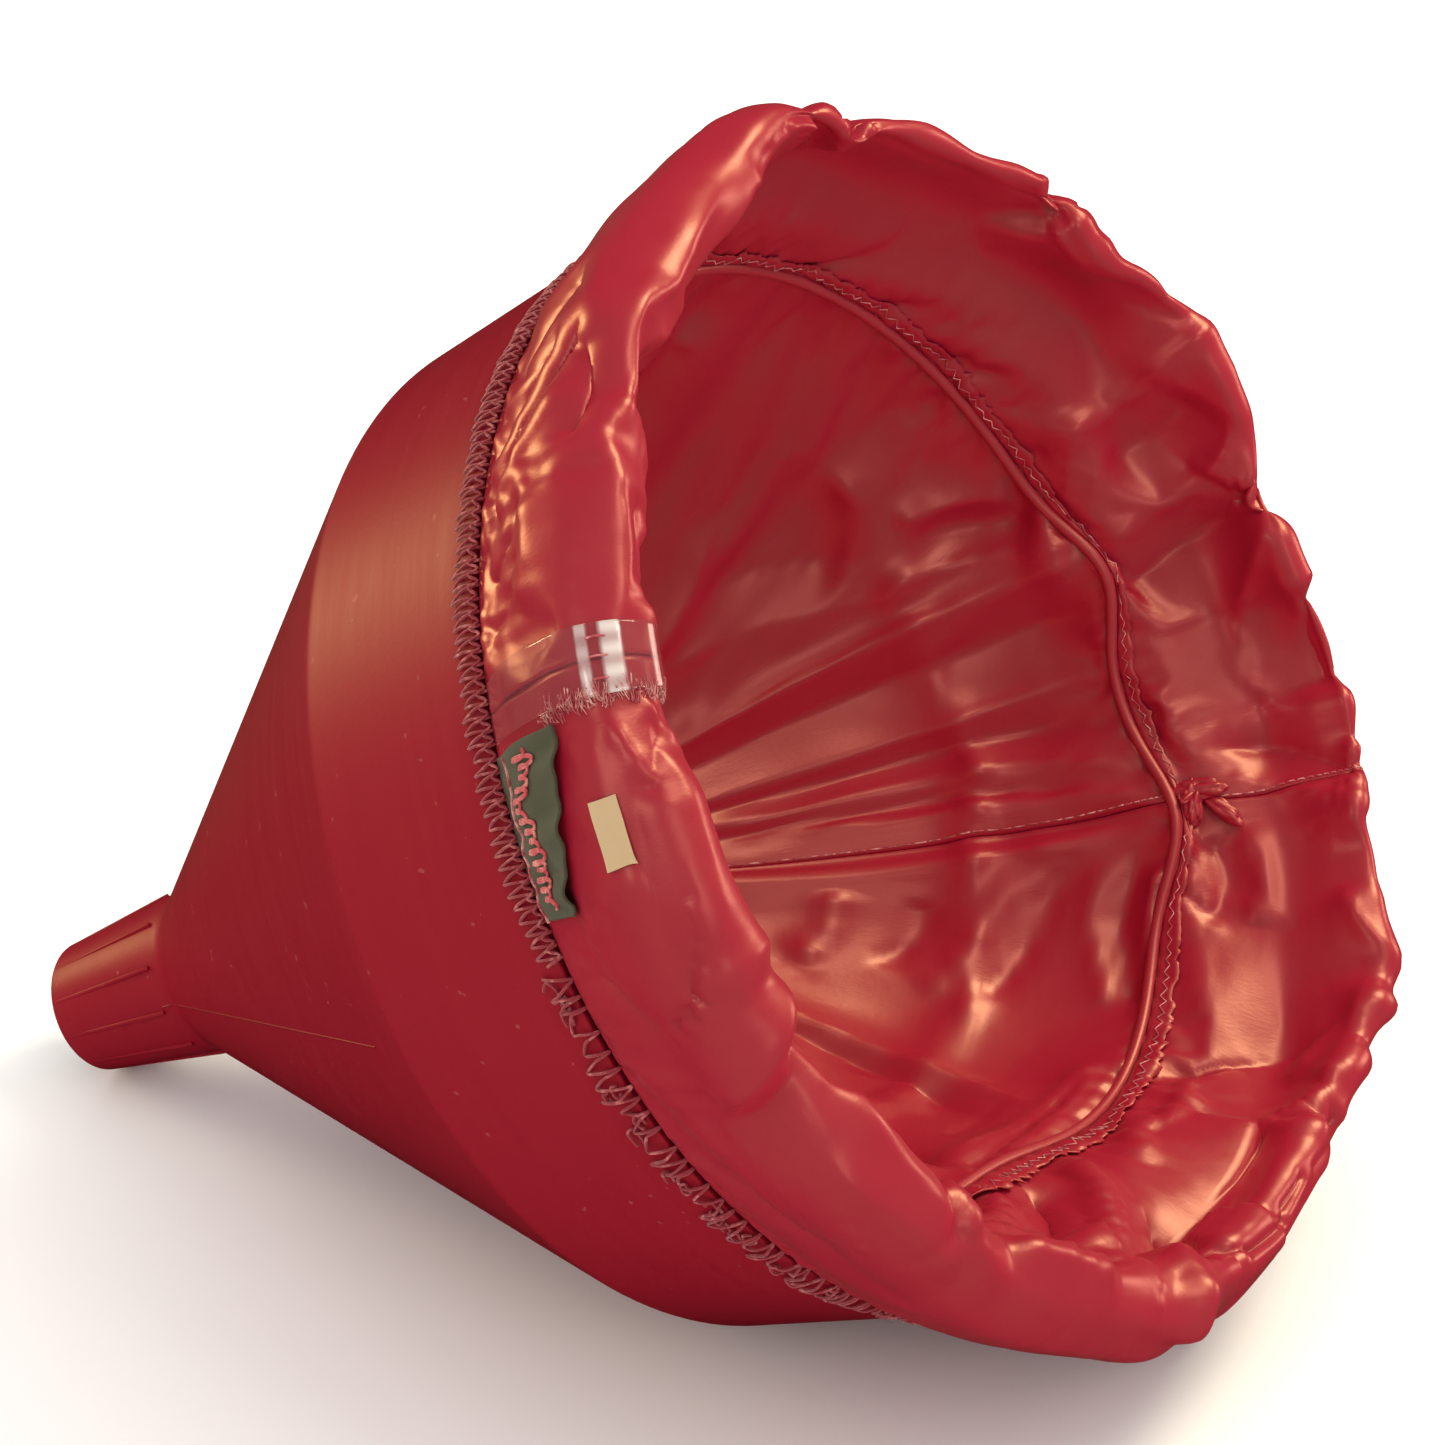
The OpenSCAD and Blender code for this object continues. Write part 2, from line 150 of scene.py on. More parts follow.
# ------------------------------------------------------------------------------- surfaces
@dataclass(frozen=True)
class LiningSizes:
    """Sizes of the satin brim and lining."""

    brim_swell: float = 13.2 * MM
    brim_rise: float = 37.5 * MM
    brim_roll: float = 4 * MM
    brim_sag: float = 12 * MM
    seam_angle: float = 56.0
    back_angle: float = 238.0
    back_gap: float = 0.12
    lining_ease: float = 7.5 * MM
    crown_depth: float = 78 * MM
    bunch: float = 14 * MM
    piping_d: float = 2.2 * MM
    cloth_t: float = 0.8 * MM
    thread_t: float = 0.7 * MM
    floor_gap: float = 0.5 * MM

    @property
    def span(self) -> tuple[float, float]:
        """Return the angles of the band's two ends, on either side of the back opening."""
        return self.back_angle - 360 + self.back_gap, self.back_angle - self.back_gap

    def piping_r(self, a: np.ndarray) -> np.ndarray:
        """Return the radius of the piping's centre line."""
        head = HAT.sizes.rim_r - HAT.sizes.wall - self.lining_ease
        return head - self.bunch * hump(a, 346, 26)

    def piping_z(self, a: np.ndarray) -> np.ndarray:
        """Return the height of the piping's centre line."""
        return MM * (1 + 7 * hump(a, 84, 8) + 7 * hump(a, self.seam_angle - 2, 9))

    def crest_wave(self, a: np.ndarray) -> np.ndarray:
        """Return how far the crest stands out or draws in round the rim."""
        broad = (4 * hump(a, 101, 11) + 3.5 * hump(a, 38, 9) - 4 * hump(a, 148, 16)
                 - 5.2 * hump(a, 78, 8) - 3.8 * hump(a, 98, 9) - 4.6 * hump(a, 119, 11)
                 - 2.8 * hump(a, 137, 8) - 2.8 * hump(a, 40, 14))
        sharp = (1.6 * hump(a, 103, 3.5) - 3.2 * hump(a, 86.5, 3.2) - 2.6 * hump(a, 52, 2.4)
                 + 2.0 * hump(a, 36.5, 4) + 2.4 * hump(a, 337, 6) - 1.8 * hump(a, 23, 4)
                 + 2.2 * hump(a, 124, 3.2) - 2.0 * hump(a, 116, 3.5) + 1.6 * hump(a, 169, 7)
                 - 2.6 * hump(a, 158, 3.0) + 1.2 * hump(a, 70, 7) - 1.2 * hump(a, 8, 5)
                 + 1.3 * hump(a, 205, 5) - 1.2 * hump(a, 215, 5) + 1.0 * hump(a, 262, 8)
                 - 1.5 * hump(a, 276, 5) + 1.4 * hump(a, 291, 7) - 1.2 * hump(a, 303, 5))
        return MM * (broad + sharp)

    def brim_knots(self, a: np.ndarray) -> list[tuple[np.ndarray, np.ndarray]]:
        """Return the section's points at the angles a, as radius and height."""
        rim, out, up = HAT.sizes.rim_r, HAT.sizes.rim_r + self.brim_swell, self.brim_rise
        sag, wave, swell, none = self.brim_sag * hump(a, 7, 13), self.crest_wave(a), \
            self.brim_swell, 0.0 * a
        roll = rim - self.brim_roll
        flat = ease((a - 8) % 360 / 22) * ease((176 - (a - 8) % 360) / 22)
        return [
            (rim - 0.4 * MM + none, self.thread_t + self.cloth_t / 2 + none),
            (out - 0.5 * swell + 0.9 * sag, 0.3 * up - 0.95 * sag),
            (out - 0.13 * swell + 0.6 * wave + sag, 0.58 * up - sag),
            (out + wave + 0.35 * sag, 0.83 * up - 0.8 * sag),
            (out - (0.35 - 0.17 * flat) * swell + wave + 0.1 * sag, up - 0.25 * sag),
            (rim + (0.12 + 0.42 * flat) * swell + 0.6 * wave, (0.99 - 0.11 * flat) * up),
            (roll + 0.45 * swell * flat, (0.8 - 0.17 * flat) * up),
            ((roll + self.piping_r(a)) / 2 + 0.12 * swell * flat, (0.45 - 0.12 * flat) * up),
            (self.piping_r(a) + 0.3 * self.piping_d, self.piping_z(a) + 0.3 * self.piping_d),
        ]

    def band(self, a: np.ndarray, s: np.ndarray) -> np.ndarray:
        """Return points of the side band, from the rim over the brim to the piping.

        Args:
            a: Angles round the funnel.
            s: Stations, 0 at the rim and 1 at the piping.

        Returns:
            Points in the row frame.
        """
        knots = np.stack([np.stack(k, axis=-1) for k in self.brim_knots(a)], axis=0)
        spans = len(knots) - 1
        k = np.clip(np.floor(s * spans).astype(int), 0, spans - 1)
        t = (s * spans - k)[..., None]
        here = np.indices(a.shape)
        p0, p1, p2, p3 = (knots[(np.clip(k + d, 0, spans), *here)] for d in (-1, 0, 1, 2))
        p = 0.5 * (2 * p1 + (p2 - p0) * t + (2 * p0 - 5 * p1 + 4 * p2 - p3) * t ** 2
                   + (3 * p1 - p0 - 3 * p2 + p3) * t ** 3)
        return HAT.lay(HAT.round(p[..., 0], a, p[..., 1]))

    def crown(self, a: np.ndarray, s: np.ndarray) -> np.ndarray:
        """Return points of the crown lining, from the piping to its apex, in the row frame."""
        turn = np.radians(90 * 0.9985 * s)
        top = self.piping_z(a) - 0.25 * self.piping_d
        radius = self.piping_r(a) * np.cos(turn) ** 1.43
        height = top - (self.crown_depth + top) * np.sin(turn) ** 1.43
        return HAT.lay(HAT.round(radius, a, height))


LINING = LiningSizes()


# ------------------------------------------------------------------------------- mesh helpers
def add_object(name: str, data: bpy.types.ID) -> bpy.types.Object:
    """Add an object made of data to the scene, at the origin."""
    made = bpy.data.objects.new(name, data)
    bpy.context.scene.collection.objects.link(made)
    return made


def thicken(piece: bpy.types.Object, thickness: float) -> None:
    """Give a sheet its thickness, half on each side of its middle."""
    thick = piece.modifiers.new("thickness", "SOLIDIFY")
    thick.thickness, thick.offset = thickness, 0.0


def finish_mesh(name: str, bm: bmesh.types.BMesh, material: bpy.types.Material,
                nodes: Iterable[str]) -> bpy.types.Object:
    """Turn a bmesh into a piece of the hat.

    Args:
        name: The piece's name.
        bm: Its mesh, in the row frame; it is freed.
        material: Its finish.
        nodes: CAD nodes that it stands for.

    Returns:
        The piece, riding on the root body.
    """
    for face in bm.faces:
        face.smooth = True
    mesh = bpy.data.meshes.new(name)
    bm.to_mesh(mesh)
    bm.free()
    mesh.materials.append(material)
    piece = add_object(name, mesh)
    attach(piece, "root")
    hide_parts(*nodes)
    LOG.info("%s: %d faces", name, len(mesh.polygons))
    return piece


def tube_mesh(paths: Sequence[np.ndarray], radius: float, sides: int = 3,
              closed: bool = False) -> bmesh.types.BMesh:
    """Sweep round threads along paths.

    Args:
        paths: Each thread's centre line, in the row frame.
        radius: The thread's radius.
        sides: Steps in a quarter of the thread's outline.
        closed: Whether each path closes on itself.

    Returns:
        A bmesh with all the threads.
    """
    curve = bpy.data.curves.new("threads", "CURVE")
    curve.dimensions, curve.bevel_depth, curve.bevel_resolution = "3D", radius, sides - 2
    curve.use_fill_caps = not closed
    curve.twist_mode = "MINIMUM"
    for path in paths:
        spline = curve.splines.new("POLY")
        spline.points.add(len(path) - 1)
        spline.points.foreach_set("co", np.hstack([path, np.ones((len(path), 1))]).ravel())
        spline.use_cyclic_u = closed
    holder = bpy.data.objects.new("threads", curve)
    mesh = bpy.data.meshes.new_from_object(holder)
    bm = bmesh.new()
    bm.from_mesh(mesh)
    bpy.data.objects.remove(holder)
    bpy.data.curves.remove(curve)
    bpy.data.meshes.remove(mesh)
    return bm


def smooth_path(points: np.ndarray, steps: int) -> np.ndarray:
    """Return a smooth line through points, with some steps between each pair."""
    padded = np.vstack([2 * points[0] - points[1], points, 2 * points[-1] - points[-2]])
    t = np.linspace(0, 1, steps, endpoint=False)[:, None]
    spans = [0.5 * (2 * b + (c - a) * t + (2 * a - 5 * b + 4 * c - d) * t ** 2
                    + (3 * b - a - 3 * c + d) * t ** 3)
             for a, b, c, d in zip(padded, padded[1:], padded[2:], padded[3:])]
    return np.vstack(spans + [points[-1:]])


# ------------------------------------------------------------------------------- folds
class FoldKind(Enum):
    """The shapes that a fold in the satin takes across its line."""

    RIDGE = "ridge"
    LAP = "lap"


@dataclass(frozen=True)
class Fold:
    """A fold in a satin panel: a ridge, a valley where its height is negative, or a lap.

    A lap stands up on the left of its line and drops off at the line.
    """

    path: tuple[tuple[float, float], ...]
    height: float
    width: float
    kind: FoldKind = FoldKind.RIDGE
    sharp: float = 1.15

    def lift(self, surface: Surface, points: np.ndarray, normals: np.ndarray) -> np.ndarray:
        """Return how far the fold lifts each point along its normal.

        Args:
            surface: The smooth panel.
            points: Points of the panel.
            normals: Their normals.

        Returns:
            One height for each point, in metres.
        """
        knots = np.array(self.path, float)
        line2 = smooth_path(knots, 8) if len(knots) > 2 else \
            knots[0] + (knots[1] - knots[0]) * np.linspace(0, 1, 12)[:, None]
        line = surface(line2[:, 0], line2[:, 1])
        best = np.full(len(points), np.inf)
        side, along = np.zeros(len(points)), np.zeros(len(points))
        count = len(line) - 1
        for i in range(count):
            a, d = line[i], line[i + 1] - line[i]
            t = np.clip((points - a) @ d / max(float(d @ d), 1e-12), 0, 1)
            gap = points - a - t[:, None] * d
            dist = np.linalg.norm(gap, axis=1)
            near = dist < best
            best[near], along[near] = dist[near], ((i + t) / count)[near]
            side[near] = np.einsum("ij,ij->i", gap, np.cross(normals, d))[near]
        fade = ease(np.minimum(along, 1 - along) / 0.22 + 0.12)
        x = best / (FOLD_WIDEN * self.width * MM)
        if self.kind is FoldKind.RIDGE:
            shape = np.exp(-x ** self.sharp)
        else:
            step = np.tanh(np.sign(side) * x * 5.0)
            shape = step * np.exp(-x * np.where(side > 0, 0.9, 1.6))
        return FOLD_RAISE * self.height * MM * shape * fade


def ridge(height: float, width: float, *path: tuple[float, float], sharp: float = 1.15) -> Fold:
    """Return a ridge or valley through the angles and stations of path."""
    return Fold(path, height, width, FoldKind.RIDGE, sharp)


def lap(height: float, width: float, *path: tuple[float, float]) -> Fold:
    """Return a lap through the angles and stations of path."""
    return Fold(path, height, width, FoldKind.LAP)


BAND_FOLDS: tuple[Fold, ...] = (
    # crest, from the top round the far side
    lap(1.9, 9, (161.0, 0.36), (162.5, 0.46), (160.5, 0.56), (157, 0.70)),
    ridge(1.2, 6, (178, 0.48), (168, 0.56), (152, 0.60), (138, 0.61)),
    lap(2.2, 8, (124.5, 0.38), (123.0, 0.48), (123.5, 0.60), (128.0, 0.72)),
    ridge(0.9, 5.0, (150, 0.54), (139, 0.55), (128, 0.57)),
    ridge(1.0, 3.2, (120, 0.55), (114, 0.54), (107, 0.50)),
    # the point and its two creases
    ridge(2.6, 4, (103, 0.42), (101.5, 0.62), (100.5, 0.78), (103, 0.93)),
    ridge(2.4, 3.6, (103, 0.46), (97, 0.50), (92.5, 0.56), (89.5, 0.66), (88, 0.84), (86, 0.97)),
    ridge(-2.2, 5, (97, 0.60), (95, 0.72), (95.5, 0.84)),
    ridge(-2.6, 4.5, (86.5, 0.46), (85, 0.60), (83.5, 0.76), (81, 0.94)),
    ridge(1.0, 2.2, (101, 0.84), (96.5, 0.90), (92, 0.95)),
    ridge(0.9, 2.0, (98, 0.80), (93, 0.88), (90, 0.93)),
    # the hollow between the notch and the front seam
    ridge(2.0, 3.5, (84, 0.52), (80.5, 0.62), (75, 0.72), (69, 0.75), (63.5, 0.68)),
    ridge(-2.6, 8, (76, 0.52), (70, 0.58), (64, 0.58)),
    ridge(1.4, 3.2, (85, 0.44), (77, 0.50), (67, 0.53), (60, 0.53)),
    ridge(1.2, 2.2, (70, 0.93), (66.5, 0.90), (63, 0.93)),
    ridge(1.6, 2.6, (59, 0.86), (57.2, 0.76), (54.8, 0.64), (53, 0.50), (52.5, 0.40)),
    ridge(-1.8, 3.0, (62, 0.84), (60.5, 0.72), (57.5, 0.60), (56, 0.50)),
    ridge(1.2, 2.0, (60, 0.52), (57, 0.56), (55, 0.60)),
    # below the front seam
    ridge(-1.6, 3.5, (53, 0.86), (47, 0.84), (41, 0.88)),
    ridge(1.5, 2.6, (53.5, 0.80), (47, 0.78), (42, 0.80)),
    ridge(2.2, 3.2, (36, 0.40), (38, 0.50), (41, 0.58), (45, 0.62)),
    ridge(2.2, 3.4, (34, 0.42), (31.5, 0.55), (28, 0.66), (22, 0.72)),
    ridge(-2.6, 4.5, (33, 0.54), (28, 0.70), (24, 0.84), (19, 0.96)),
    ridge(1.6, 2.4, (27, 0.46), (23, 0.55), (21, 0.64)),
    ridge(1.8, 2.0, (21, 0.58), (17, 0.66), (14.5, 0.73), (12.5, 0.66), (14, 0.56)),
    ridge(-1.6, 2.0, (18, 0.56), (15.5, 0.64)),
    ridge(2.0, 3.0, (16, 0.56), (9, 0.54), (3, 0.57), (352, 0.60), (344, 0.56)),
    ridge(-3.0, 7, (12, 0.76), (4, 0.74), (354, 0.72)),
    ridge(1.8, 2.6, (22, 0.90), (13, 0.88), (7, 0.92), (0, 0.86)),
    # the bunched bottom
    ridge(3.4, 4.5, (346, 0.76), (342, 0.65), (339, 0.54), (338, 0.44)),
    ridge(-3.4, 4.0, (352, 0.84), (347, 0.70), (346, 0.58)),
    ridge(3.6, 2.8, (355, 0.96), (348, 0.86), (341, 0.80), (331, 0.78)),
    ridge(-3.2, 3.0, (345, 0.94), (338, 0.86), (328, 0.84)),
    ridge(3.4, 2.4, (338, 0.96), (331, 0.90), (322, 0.86), (315, 0.80)),
    ridge(-3.0, 2.6, (334, 0.74), (326, 0.70), (318, 0.68)),
    ridge(3.0, 2.4, (328, 0.66), (320, 0.62), (311, 0.62)),
    ridge(2.6, 2.2, (336, 0.68), (328, 0.76), (319, 0.78), (310, 0.72)),
    ridge(-2.4, 2.2, (322, 0.94), (314, 0.88), (307, 0.80)),
    ridge(2.4, 2.2, (318, 0.96), (309, 0.90), (301, 0.82)),
    # near side roll, upwards from the bottom
    ridge(3.0, 11, (246, 0.60), (256, 0.64), (264, 0.66), (270, 0.66), sharp=1.8),
    lap(-3.6, 9, (270, 0.80), (273, 0.68), (276, 0.54), (278, 0.40), (279, 0.26)),
    ridge(2.0, 3.0, (282, 0.66), (288, 0.62), (295, 0.64), (303, 0.60)),
    ridge(1.8, 4, (312, 0.50), (302, 0.56), (292, 0.60), (282, 0.60)),
    ridge(1.5, 3.5, (306, 0.44), (296, 0.47), (286, 0.45)),
    lap(2.2, 6, (300, 0.72), (301, 0.62), (304, 0.52)),
    ridge(-1.2, 5, (270, 0.42), (262, 0.40), (254, 0.42), (247, 0.46)),
    ridge(1.0, 4, (244, 0.50), (250, 0.56), (258, 0.55), (266, 0.50)),
    ridge(1.9, 3.2, (235, 0.50), (229, 0.53), (222, 0.50), (217, 0.45), (210, 0.52),
          (203, 0.50), (197, 0.56), (189, 0.54), (181, 0.56)),
    ridge(-1.6, 3.0, (234, 0.60), (227, 0.62), (221, 0.60)),
    ridge(-1.8, 3.0, (214, 0.60), (208, 0.62), (203, 0.66)),
    ridge(1.5, 2.4, (226, 0.66), (220, 0.70), (214, 0.68)),
    ridge(1.5, 2.4, (206, 0.58), (200, 0.66), (195, 0.66)),
    ridge(-1.6, 3.2, (218, 0.36), (211, 0.40), (205, 0.36)),
    # long creases that the stitches pull from the rim
    ridge(-1.5, 2.6, (219.5, 0.04), (213, 0.16), (208, 0.28), (203, 0.38), sharp=1.0),
    ridge(1.4, 2.6, (221, 0.10), (215, 0.22), (209.5, 0.34), sharp=1.0),
    ridge(-1.3, 2.2, (212, 0.03), (207, 0.16), (203, 0.28), sharp=1.0),
    ridge(-1.1, 2.0, (203, 0.03), (199, 0.16), (195, 0.28), sharp=1.0),
    ridge(-1.2, 1.8, (226, 0.03), (224, 0.14), (220, 0.24), sharp=1.0),
    ridge(-1.2, 2.0, (232, 0.03), (229, 0.12), (224, 0.22), sharp=1.0),
    ridge(1.4, 5.0, (231, 0.20), (226, 0.26), (221, 0.26)),
    ridge(-1.0, 2.0, (262, 0.05), (266, 0.16), (272, 0.26), sharp=1.0),
    ridge(-1.0, 2.0, (286, 0.06), (291, 0.18), (298, 0.28), sharp=1.0),
    ridge(1.0, 2.6, (262, 0.14), (258, 0.28), (256, 0.40)),
    ridge(-1.2, 2.2, (243, 0.62), (247, 0.52), (251, 0.46)),
    ridge(1.2, 1.8, (242, 0.52), (245, 0.60), (248, 0.70)),
    ridge(1.0, 1.6, (243, 0.42), (247, 0.46), (250, 0.50)),
)

CROWN_FOLDS: tuple[Fold, ...] = (
    ridge(-2.2, 5, (99, 0.27), (95.5, 0.16), (92, 0.06)),
    ridge(2.0, 3.5, (97, 0.34), (93.5, 0.24), (90.5, 0.12), (88.5, 0.03)),
    ridge(1.6, 3.0, (103, 0.26), (99.5, 0.16), (96.5, 0.06)),
    ridge(2.2, 9, (112, 0.62), (104, 0.48), (97, 0.38), (91, 0.26)),
    ridge(-1.4, 5, (116, 0.50), (108, 0.40), (102, 0.34)),
    ridge(1.6, 4, (124, 0.42), (119, 0.52), (116, 0.62)),
    ridge(2.4, 4.0, (100, 0.84), (93, 0.66), (90, 0.48), (88, 0.30), (87, 0.14), (86.5, 0.03)),
    ridge(-3.0, 9, (86, 0.76), (83.5, 0.58), (82, 0.40), (81, 0.22), (80, 0.06)),
    ridge(2.6, 5, (78, 0.86), (75, 0.66), (74, 0.46), (73.5, 0.26), (73, 0.05)),
    ridge(-1.8, 3.5, (73, 0.70), (70.5, 0.50), (69.5, 0.30), (68, 0.10)),
    ridge(2.2, 4, (71, 0.84), (67, 0.60), (66, 0.40), (64, 0.20), (60, 0.03)),
    ridge(-1.8, 3, (66, 0.70), (63, 0.50), (62, 0.32), (59.5, 0.16)),
    ridge(1.8, 2.6, (64, 0.60), (61, 0.44), (60, 0.30), (58.5, 0.16), (56.5, 0.02)),
    ridge(-1.6, 2.4, (56, 0.90), (55, 0.60), (55.5, 0.34), (56, 0.06)),
    ridge(1.4, 2.2, (53.5, 0.80), (52.5, 0.55), (53, 0.34), (54, 0.10)),
    # pleats below the seam
    ridge(-1.1, 2.8, (53, 0.22), (46, 0.24), (38, 0.27), (30, 0.33)),
    ridge(0.9, 2.2, (53, 0.29), (45, 0.31), (37, 0.35), (30, 0.38)),
    ridge(-1.3, 3.0, (52, 0.10), (44, 0.11), (37, 0.08), (30, 0.05)),
    ridge(0.9, 2.2, (53, 0.16), (44, 0.17), (36, 0.14), (31, 0.12)),
    ridge(1.4, 1.8, (49, 0.05), (44, 0.03), (39, 0.02)),
    ridge(-1.2, 2.4, (48, 0.40), (42, 0.40), (35, 0.44)),
    ridge(1.4, 3.5, (50, 0.50), (42, 0.50), (33, 0.54)),
    ridge(1.2, 3.0, (46, 0.66), (38, 0.68), (31, 0.72)),
    # bottom of the crown
    ridge(2.2, 3.0, (29, 0.86), (22, 0.66), (18, 0.46), (14, 0.28), (10, 0.12)),
    ridge(-2.2, 3.5, (24, 0.80), (17, 0.56), (13, 0.38), (7, 0.22)),
    ridge(1.8, 2.6, (20, 0.70), (10, 0.50), (4, 0.34), (358, 0.18)),
    ridge(2.2, 4.0, (4, 0.26), (356, 0.14), (349, 0.05)),
    ridge(-2.0, 3.0, (352, 0.36), (347, 0.22), (341, 0.10)),
    ridge(1.8, 2.6, (346, 0.40), (340, 0.26), (334, 0.10)),
    ridge(1.4, 4.0, (330, 0.5), (326, 0.3), (322, 0.1)),
    ridge(1.5, 5.0, (300, 0.6), (296, 0.35), (292, 0.1)),
    ridge(-1.3, 5.0, (280, 0.6), (276, 0.35), (272, 0.1)),
    ridge(1.3, 5.0, (255, 0.6), (252, 0.35), (250, 0.1)),
    ridge(1.3, 5.0, (225, 0.6), (221, 0.35), (219, 0.1)),
    ridge(-1.3, 5.0, (205, 0.6), (200, 0.35), (198, 0.1)),
    ridge(1.2, 5.0, (180, 0.6), (176, 0.35), (173, 0.1)),
    ridge(-1.0, 5.0, (158, 0.5), (154, 0.3), (151, 0.1)),
)


# ------------------------------------------------------------------------------- satin panels
def doubled(grid: np.ndarray, axis: int) -> np.ndarray:
    """Return a grid of points with a smooth point between each two along an axis."""
    g = np.moveaxis(grid, axis, 0)
    before = np.concatenate([2 * g[:1] - g[1:2], g[:-2]])
    after = np.concatenate([g[2:], 2 * g[-1:] - g[-2:-1]])
    middle = (9 * (g[:-1] + g[1:]) - before - after) / 16
    out = np.empty((2 * len(g) - 1, *g.shape[1:]))
    out[0::2], out[1::2] = g, middle
    return np.moveaxis(out, 0, axis)


def normals_of(grid: np.ndarray) -> np.ndarray:
    """Return the unit normals of a grid of points, on the side that shows."""
    n = np.cross(np.gradient(grid, axis=1), np.gradient(grid, axis=0))
    return n / np.maximum(np.linalg.norm(n, axis=-1, keepdims=True), 1e-12)


def grid_bmesh(points: np.ndarray) -> bmesh.types.BMesh:
    """Return a bmesh grid on rows and columns of points, with its own UV map."""
    rows, columns = points.shape[0] - 1, points.shape[1] - 1
    bm = bmesh.new()
    bm.loops.layers.uv.new("UVMap")
    bmesh.ops.create_grid(bm, x_segments=columns, y_segments=rows, size=1.0, calc_uvs=True)
    for vert in bm.verts:
        i, j = round((vert.co.x + 1) / 2 * columns), round((vert.co.y + 1) / 2 * rows)
        vert.co = points[j, i]
    return bm


@dataclass
class SatinPanel:
    """A sheet of satin on one of the lining's surfaces, kept as a grid of points."""

    surface: Surface
    folds: tuple[Fold, ...]
    start: float
    end: float
    columns: int
    rows: int
    points: np.ndarray = field(init=False)

    def __post_init__(self) -> None:
        """Lay the panel out on its smooth surface."""
        self.points = self.surface(*self.layout())

    def layout(self) -> tuple[np.ndarray, np.ndarray]:
        """Return each point's angle and station."""
        return tuple(np.meshgrid(np.linspace(self.start, self.end, self.columns + 1),
                                 np.linspace(0.0, 1.0, self.rows + 1)))

    def add(self, height: np.ndarray) -> None:
        """Raise the points along their normals by the heights given."""
        self.points = self.points + height[..., None] * normals_of(self.points)

    def fold(self) -> None:
        """Model the large folds."""
        flat, normals = self.points.reshape(-1, 3), normals_of(self.points).reshape(-1, 3)
        total = sum(f.lift(self.surface, flat, normals) for f in self.folds)
        stations = self.layout()[1]
        held = ease(stations / 0.05) * ease((1 - stations) / 0.03)
        self.add(total.reshape(stations.shape) * held)

    def pinned(self) -> list[int]:
        """Return the points that are sewn down: every edge of the panel."""
        index = np.arange(self.points[..., 0].size).reshape(self.points.shape[:2])
        edge = [index[0], index[-1], index[:, 0], index[:, -1]]
        return sorted({int(i) for part in edge for i in part})

    def relax(self, fullness: float, frames: int, reach: float, calm: float = 0.0) -> None:
        """Let the satin buckle: it is cut fuller than the place that it is sewn into.

        Args:
            fullness: The extra width, as a share.
            frames: Steps of the simulation.
            reach: How far a point may move, in metres.
            calm: How much less the satin moves round its crest, from 0 to 1.
        """
        scene, scale = bpy.context.scene, 10.0
        bm = grid_bmesh(self.points)
        mesh = bpy.data.meshes.new("relaxing")
        bm.to_mesh(mesh)
        bm.free()
        cloth_piece = add_object("relaxing", mesh)
        count = len(mesh.vertices)
        start = np.zeros(count * 3)
        mesh.vertices.foreach_get("co", start)
        start = start.reshape(-1, 3)
        mesh.vertices.foreach_set("co", (start * scale).ravel())
        sewn = cloth_piece.vertex_groups.new(name="sewn")
        sewn.add(self.pinned(), 1.0, "REPLACE")
        cloth_piece.shape_key_add(name="Basis")
        full = cloth_piece.shape_key_add(name="Full")
        own = HAT.stand(start)
        own[:, :2] *= 1 + fullness
        full.data.foreach_set("co", (HAT.lay(own) * scale).ravel())
        modifier = cloth_piece.modifiers.new("cloth", "CLOTH")
        settings = modifier.settings
        settings.quality, settings.mass, settings.air_damping = 5, 0.2, 2.0
        settings.tension_stiffness = settings.compression_stiffness = 18
        settings.shear_stiffness, settings.bending_stiffness = 4, 2.0
        settings.vertex_group_mass, settings.rest_shape_key = "sewn", full
        settings.effector_weights.gravity = 0.12
        modifier.point_cache.frame_start, modifier.point_cache.frame_end = 1, frames
        for frame_number in range(1, frames + 1):
            scene.frame_set(frame_number)
        settled = cloth_piece.evaluated_get(bpy.context.evaluated_depsgraph_get())
        result = np.zeros(count * 3)
        settled.data.vertices.foreach_get("co", result)
        moved = result.reshape(-1, 3) / scale - start
        bpy.data.objects.remove(cloth_piece)
        bpy.data.meshes.remove(mesh)
        scene.frame_set(1)
        stations = self.layout()[1]
        still = 1 - calm * np.exp(-((stations - 0.56) / 0.22) ** 2)
        self.move(still[..., None] * moved.reshape(self.points.shape), reach)

    def move(self, moved: np.ndarray, reach: float) -> None:
        """Move the points, without the panel's broad drift and by no more than reach."""
        normals = normals_of(self.points)
        out = np.einsum("ijk,ijk->ij", moved, normals)
        wide = max(3, round(9 * self.columns / 360))
        kernel = np.hanning(2 * wide + 3)[1:-1]
        kernel /= kernel.sum()
        padded = np.pad(out, ((0, 0), (wide, wide)), mode="edge")
        drift = np.stack([np.convolve(row, kernel, mode="valid") for row in padded])
        moved = moved - 0.85 * drift[..., None] * normals
        size = np.maximum(np.linalg.norm(moved, axis=-1, keepdims=True), 1e-12)
        self.points = self.points + moved * (reach * np.tanh(size / reach) / size)

    def refine(self) -> None:
        """Double the panel's rows and columns."""
        self.points = doubled(doubled(self.points, 0), 1)
        self.columns, self.rows = 2 * self.columns, 2 * self.rows

